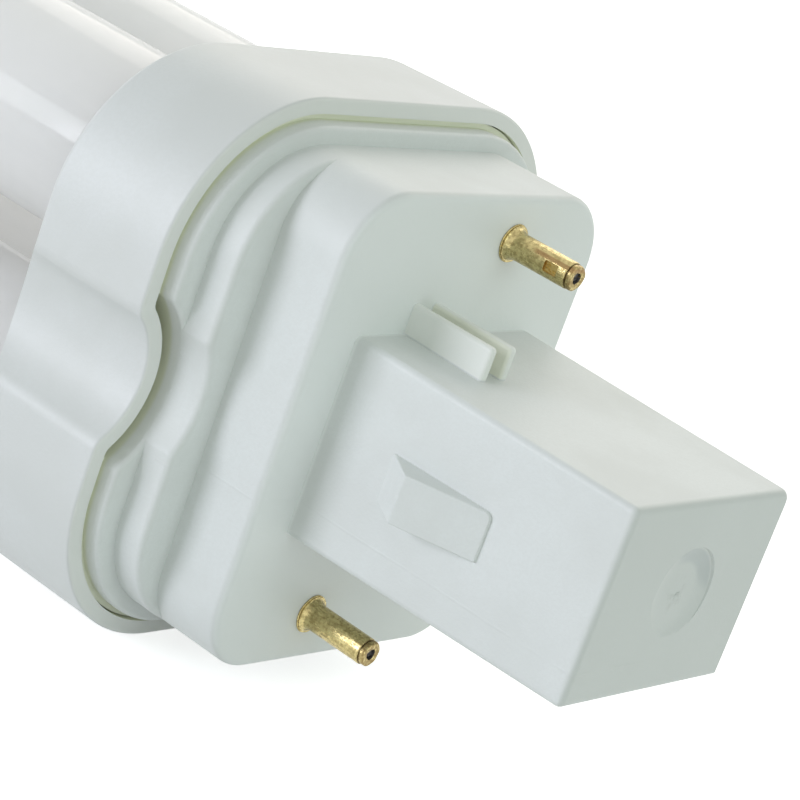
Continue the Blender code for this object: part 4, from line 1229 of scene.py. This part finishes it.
def bent_tube(glass, x, y, centre):
    """One bend of glass: up to the bend along one leg, round it and back along the other."""
    work = bmesh.new()
    radius = glass.tube_diameter / 2
    bmesh.ops.create_circle(work, cap_ends=False, segments=TUBE_SIDES, radius=radius)
    move(work, x, y, -glass.leg_end)
    leg = -glass.leg_end - centre
    ring = lengthen(work, work.edges[:], -leg)
    ends = {vert for edge in ring for vert in edge.verts}
    made = bmesh.ops.spin(work, geom=[*ends, *ring], cent=(x, 0.0, centre),
                          axis=(1.0, 0.0, 0.0), dvec=(0.0, 0.0, 0.0), angle=-pi,
                          steps=BEND_STEPS, use_merge=False, use_duplicate=False)
    ring = [item for item in made["geom_last"] if isinstance(item, bmesh.types.BMEdge)]
    lengthen(work, ring, leg)
    bmesh.ops.remove_doubles(work, verts=work.verts[:], dist=WELD)
    bmesh.ops.holes_fill(work, edges=[edge for edge in work.edges if edge.is_boundary], sides=0)
    bmesh.ops.recalc_face_normals(work, faces=work.faces[:])
    round_off(work, [edge for edge in work.edges if lies_at(edge, -glass.leg_end)],
              glass.end_round, CUSP_STEPS)
    twist_glass(glass, work)
    return work


def build_glass(scene):
    """Two bends of glass, a short bridge between them and two sealed ends."""
    glass, shell, plug = scene.lamp_glass, scene.lamp_shell, scene.lamp_plug
    leg_x, leg_y = leg_places(glass)[-1]
    rear = -shell.depth - shell.shell_length
    centre = plug.post_length - (CAD_HIGH.x - CAD_LOW.x) + leg_y + glass.tube_diameter / 2
    thin = glass.bridge_diameter / 2
    gap = glass.pair_gap / 2
    flare = glass.bridge_flare
    waist = [(0.0, -leg_x), (thin + flare, -leg_x), (thin + flare, -gap - flare),
             (thin + flare / 3, -gap - flare / 3), (thin, -gap / 2), (thin, gap / 2),
             (thin + flare / 3, gap + flare / 3), (thin + flare, gap + flare),
             (thin + flare, leg_x), (0.0, leg_x)]
    bridge = turned(waist, HOLE_SIDES, closed=False)
    bmesh.ops.rotate(bridge, cent=(0.0, 0.0, 0.0), matrix=Matrix.Rotation(pi / 2, 3, "Y"),
                     verts=bridge.verts[:])
    move(bridge, 0.0, -leg_y, rear - glass.bridge_place)
    twist_glass(glass, bridge)
    steps = [("UNION", bridge), ("UNION", bent_tube(glass, leg_x, leg_y, centre))]
    for side in (-1, 1):
        pinch = block(glass.pinch_width, glass.pinch_thickness, glass.pinch_width,
                      glass.pinch_thickness, -glass.leg_end - glass.end_round,
                      -glass.leg_end + glass.pinch_length)
        move(pinch, side * leg_x, leg_y, 0.0)
        round_off(pinch, pinch.edges[:], glass.pinch_edge, FINE_STEPS)
        twist_glass(glass, pinch)
        steps.append(("UNION", pinch))
    return combine("glass_tubes", bent_tube(glass, -leg_x, leg_y, centre), steps)


def arc_points(x, y, radius, start, end):
    """Points of an arc from the angle start to the angle end."""
    return [(x + radius * cos(start + (end - start) * step / EDGE_STEPS),
             y + radius * sin(start + (end - start) * step / EDGE_STEPS))
            for step in range(EDGE_STEPS + 1)]


def pin_profile(pins, tail):
    """Half section of a pin, from its mouth down its outside and up its bore."""
    radius, bore, mouth = pins.diameter / 2, pins.bore / 2, pins.mouth / 2
    flange = pins.flange_diameter / 2
    tip = pins.pin_length
    neck = tip - pins.rim_length
    rim = radius - pins.groove
    soft = pins.soft
    profile = [(mouth * 0.8, tip - 4 * soft), (mouth, tip - soft / 2)]
    profile += arc_points(rim - 1.6 * soft, tip - 1.6 * soft, 1.6 * soft, pi / 2, 0.0)
    profile += [(rim, neck + soft), (rim - soft / 2, neck + soft / 3), (rim - soft / 2, neck),
                (radius - soft, neck)]
    profile += arc_points(radius - soft, neck - soft, soft, pi / 2, 0.0)
    top = pins.flange_thickness + pins.flare
    for step in range(FLARE_STEPS + 1):
        angle = pi / 2 * step / FLARE_STEPS
        profile.append((radius + (flange - soft - radius) * (1 - cos(angle)),
                        top - pins.flare * sin(angle)))
    profile += [(flange - 1.2 * soft, pins.flange_thickness - soft / 2)]
    profile += arc_points(flange - soft / 2, pins.flange_thickness / 2, soft / 2, pi / 2, -pi / 2)
    profile += [(flange - soft / 2, 0.0), (radius, 0.0), (radius, tail), (flange, tail),
                (flange, tail - pins.tail / 2), (radius, tail - pins.tail),
                (bore, tail - pins.tail), (bore, tip - 7 * soft)]
    return profile


def shape_wear(work, pins, side):
    """Dent the rim and the flange a little, so that they aren't perfectly round."""
    neck = pins.pin_length - pins.rim_length
    for vert in work.verts:
        angle = atan2(vert.co.y, vert.co.x)
        if vert.co.z > neck:
            amount = pins.dent * (sin(3 * angle + side) + 0.6 * sin(7 * angle))
        elif 0 <= vert.co.z < pins.flange_thickness + pins.flare / 2:
            amount = pins.dent * 0.8 * (sin(2 * angle + 2 * side) + 0.5 * sin(5 * angle))
        else:
            continue
        if vert.co.xy.length > pins.bore / 4:
            vert.co.x += amount * cos(angle)
            vert.co.y += amount * sin(angle)


def window_shape(pins):
    """Block with four round edges, to punch the upper pin's window with."""
    window = block(2 * pins.window_depth, pins.window_width, 2 * pins.window_depth,
                   pins.window_width, -pins.window_length / 2, pins.window_length / 2)
    across = [edge for edge in window.edges
              if abs(edge.verts[0].co.x - edge.verts[1].co.x) > pins.window_depth]
    round_off(window, across, pins.soft, FINE_STEPS)
    move(window, pins.place_x - pins.diameter / 2, pins.place_y,
         pins.pin_length - pins.window_place)
    return window


def build_pin(scene, name, side):
    """Hollow pin with a flared foot on a flange, a swaged rim and, above, a punched window."""
    pins, cap = scene.lamp_pins, scene.lamp_cap
    x, y = side * pins.place_x, side * pins.place_y
    tip, bore = pins.pin_length, pins.bore / 2
    shape = turned(pin_profile(pins, -cap.face_thickness - pins.seat), PIN_STEPS)
    shape_wear(shape, pins, side)
    move(shape, x, y, 0.0)
    steps = [("DIFFERENCE", window_shape(pins))] if side > 0 else []
    low, high = FILLING
    filling = rod(bore * 1.1, tip - low, tip - high, x, y, SEAT_SIDES)
    wire = rod(bore * 0.62, tip - WIRE_START, tip - 2.2 * pins.soft, x + bore * 0.15,
               y + bore * 0.1, WIRE_SIDES)
    return combine(name, shape, [*steps, ("UNION", filling), ("UNION", wire)])


def part_of_pin(pins, side, face):
    """0 for a face of the brass, 1 for the flux in the window and 2 for dirt in the bore."""
    across = Vector((face.center.y - side * pins.place_x,
                     face.center.z - MIDDLE_UP - side * pins.place_y))
    along = face.center.x - face_place()
    if across.length < pins.mouth / 2 * 0.98 and along > pins.pin_length / 2:
        return 2
    return int(across.x < 0 and across.length < pins.diameter / 2 * 0.97
               and abs(along - pins.pin_length + pins.window_place) < pins.window_length * 0.6)


def faces_inwards(face):
    """True for a face of the shell that looks at the lamp's axis."""
    outward = face.center - Vector((face.center.x, 0.0, MIDDLE_UP))
    return face.normal.dot(outward.normalized()) < -0.3


# Operators


class LAMP_OT_glass(bpy.types.Operator):
    """Build the glass with its two bends."""

    bl_idname = "lamp.glass"
    bl_label = "Glass Tubes"

    def execute(self, context):
        finish_piece(build_glass(context.scene), coated_glass(), "discharge_tube")
        return {"FINISHED"}


class LAMP_OT_shell(bpy.types.Operator):
    """Build the fluted shell round the tube ends."""

    bl_idname = "lamp.shell"
    bl_label = "Fluted Shell"

    def execute(self, context):
        finish_piece(build_shell(context.scene), shell_plastic(), "tube_shell",
                     [painted_shell_inside_light()], faces_inwards)
        return {"FINISHED"}


class LAMP_OT_cap(bpy.types.Operator):
    """Build the cap with its plug post."""

    bl_idname = "lamp.cap"
    bl_label = "Plug Cap"

    def execute(self, context):
        finish_piece(build_cap(context.scene), cap_plastic(), "cap_body")
        return {"FINISHED"}


class LAMP_OT_pins(bpy.types.Operator):
    """Build both contact pins."""

    bl_idname = "lamp.pins"
    bl_label = "Contact Pins"

    def execute(self, context):
        pins = context.scene.lamp_pins
        brass, others = pin_brass(), (flux_brown(), bore_dirt())
        for word, side in (("upper", 1), ("lower", -1)):
            pin = build_pin(context.scene, "brass_pin_" + word, side)
            finish_piece(pin, brass, "contact_pin_" + word, others,
                         partial(part_of_pin, pins, side))
        return {"FINISHED"}


class LAMP_OT_inner_parts(bpy.types.Operator):
    """Give the parts inside the cap their finishes."""

    bl_idname = "lamp.inner_parts"
    bl_label = "Inner Parts"

    def execute(self, context):
        wire, joint, sleeve = tinned_wire(), joint_metal(), sleeve_fibre()
        finishes = {"bedding_cement": grey_cement(), "glow_bottle": starter_glass(),
                    "capacitor": capacitor_resin()}
        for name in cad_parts:
            if "_lead_" in name:
                finishes[name] = wire
            elif name.startswith("wire_joint"):
                finishes[name] = joint
            elif name.startswith("lead_sleeve"):
                finishes[name] = sleeve
        for name, material in finishes.items():
            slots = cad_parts[name].data.materials
            slots.clear()
            slots.append(material)
        return {"FINISHED"}


# Stage

# Camera of the photo in the frame, its sensor and the distances between which it sees
CAMERA_PLACE = (0.142642, -0.129064, 0.066670)
CAMERA_RIGHT = (0.71955, 0.61101, 0.33002)
CAMERA_UP = (-0.44344, 0.03856, 0.89547)
CAMERA_BACK = (0.53442, -0.79068, 0.29869)
SENSOR_WIDTH = 36.0
NEAR, FAR = 0.005, 20.0

# Light panels: name, place, width and height, setting of the brightness, and tone
PANELS = (("side_panel", (-0.32, -0.69, 0.165), (0.37, 0.40), "side_light", (0.88, 0.88, 1.0)),
          ("gloss_panel", (-0.66, -0.58, 0.13), (0.34, 0.34), "gloss_light", (0.9, 0.95, 1.0)),
          ("top_panel", (-0.22, 0.63, 0.47), (0.92, 0.52), "top_light", (1.0, 0.93, 0.87)),
          ("front_panel", (0.95, -0.05, 0.35), (0.6, 0.6), "front_light", (0.88, 1.0, 0.96)))
AIM = Vector((0.055, 0.0, 0.017))

# Floor: its radius, and how grey its paler patches are beside the others
FLOOR_RADIUS = 3.0
PALE_PART = 0.9
WHITE = (1.0, 1.0, 1.0, 1.0)


def seen_directly(tree):
    """1 for what the camera, glass and metal see, and 0 for light that falls on things."""
    ray = tree.nodes.new("ShaderNodeLightPath").outputs
    shiny = calculate(tree, "MAXIMUM", ray["Is Glossy Ray"], ray["Is Transmission Ray"])
    return calculate(tree, "MAXIMUM", ray["Is Camera Ray"], shiny)


def make_world(stage):
    """Even light all round, that is plain white where it is seen."""
    world = bpy.data.worlds.new("plain_room")
    world.use_nodes = True
    tree = world.node_tree
    back = tree.nodes["Background"]
    seen = seen_directly(tree)
    tree.links.new(blend(tree, seen, solid(stage.room), WHITE), back.inputs["Color"])
    level = add(tree, "ShaderNodeMapRange", {"Value": seen, "To Min": stage.ambient,
                                             "To Max": 1.0})
    tree.links.new(level.outputs["Result"], back.inputs["Strength"])
    bpy.context.scene.world = world


def make_floor(stage):
    """Wide pale floor that looks white and still takes the lamp's shadow."""
    work = bmesh.new()
    bmesh.ops.create_circle(work, cap_ends=True, segments=96, radius=FLOOR_RADIUS)
    floor = to_object("stage_floor", work)
    material = bpy.data.materials.new("Pale Floor")
    material.use_nodes = True
    tree = material.node_tree
    tree.nodes.clear()
    place = tree.nodes.new("ShaderNodeTexCoord").outputs["Object"]
    paler = solid([1 - (1 - part) * PALE_PART for part in stage.floor])
    tone = blend(tree, noise(tree, place, 3.0), solid(stage.floor), paler)
    matte = add(tree, "ShaderNodeBsdfDiffuse", {"Color": tone})
    lift = calculate(tree, "MULTIPLY", seen_directly(tree), stage.floor_lift)
    glow = add(tree, "ShaderNodeEmission", {"Strength": lift})
    both = add(tree, "ShaderNodeAddShader", {0: matte.outputs[0], 1: glow.outputs[0]})
    add(tree, "ShaderNodeOutputMaterial", {"Surface": both.outputs[0]})
    floor.data.materials.append(material)


def make_panel(name, place, size, brightness, tone):
    """Soft light panel that faces the lamp."""
    lamp = bpy.data.lights.new(name, "AREA")
    lamp.shape = "RECTANGLE"
    lamp.size, lamp.size_y = size
    lamp.energy = brightness * pi * size[0] * size[1]
    lamp.color = tone
    item = bpy.data.objects.new(name, lamp)
    item.location = place
    item.rotation_euler = (AIM - Vector(place)).to_track_quat("-Z", "Y").to_euler()
    bpy.context.scene.collection.objects.link(item)
    return item


class LAMP_OT_stage(bpy.types.Operator):
    """Build the floor, the room, the light and the camera."""

    bl_idname = "lamp.stage"
    bl_label = "Stage"

    def execute(self, context):
        scene = context.scene
        stage = scene.lamp_stage
        make_world(stage)
        make_floor(stage)
        for name, place, size, setting, tone in PANELS:
            panel = make_panel(name, place, size, getattr(stage, setting), tone)
            panel.visible_diffuse = name != "gloss_panel"
        data = bpy.data.cameras.new("photo_camera")
        data.lens = stage.lens
        data.sensor_width = SENSOR_WIDTH
        data.clip_start, data.clip_end = NEAR, FAR
        camera = bpy.data.objects.new("photo_camera", data)
        axes = Matrix((CAMERA_RIGHT, CAMERA_UP, CAMERA_BACK)).transposed().to_4x4()
        axes.translation = CAMERA_PLACE
        camera.matrix_world = axes
        scene.collection.objects.link(camera)
        scene.camera = camera
        scene.view_settings.view_transform = "Standard"
        return {"FINISHED"}


class LAMP_PT_sidebar(bpy.types.Panel):
    """Sidebar list of the lamp's steps."""

    bl_idname = "LAMP_PT_sidebar"
    bl_label = "Compact Fluorescent Lamp"
    bl_space_type = "VIEW_3D"
    bl_region_type = "UI"
    bl_category = "Lamp"

    def draw(self, context):
        for step in STEPS:
            self.layout.operator(step.bl_idname)


SETTINGS = {"lamp_glass": LampGlass, "lamp_shell": LampShell, "lamp_cap": LampCap,
            "lamp_plug": LampPlug, "lamp_pins": LampPins, "lamp_stage": LampStage}
STEPS = (LAMP_OT_glass, LAMP_OT_shell, LAMP_OT_cap, LAMP_OT_pins, LAMP_OT_inner_parts,
         LAMP_OT_stage)


def register():
    """Register the settings, the steps and the sidebar's panel."""
    for group in SETTINGS.values():
        bpy.utils.register_class(group)
    for step in (*STEPS, LAMP_PT_sidebar):
        bpy.utils.register_class(step)
    for name, group in SETTINGS.items():
        setattr(bpy.types.Scene, name, PointerProperty(type=group))


def unregister():
    """Take everything back that register() added."""
    for name in SETTINGS:
        delattr(bpy.types.Scene, name)
    for step in (LAMP_PT_sidebar, *reversed(STEPS)):
        bpy.utils.unregister_class(step)
    for group in reversed(SETTINGS.values()):
        bpy.utils.unregister_class(group)


def main():
    """Build the lamp and its stage."""
    register()
    bpy.ops.lamp.glass()
    bpy.ops.lamp.shell()
    bpy.ops.lamp.cap()
    bpy.ops.lamp.pins()
    bpy.ops.lamp.inner_parts()
    bpy.ops.lamp.stage()


if __name__ == "__main__":
    main()
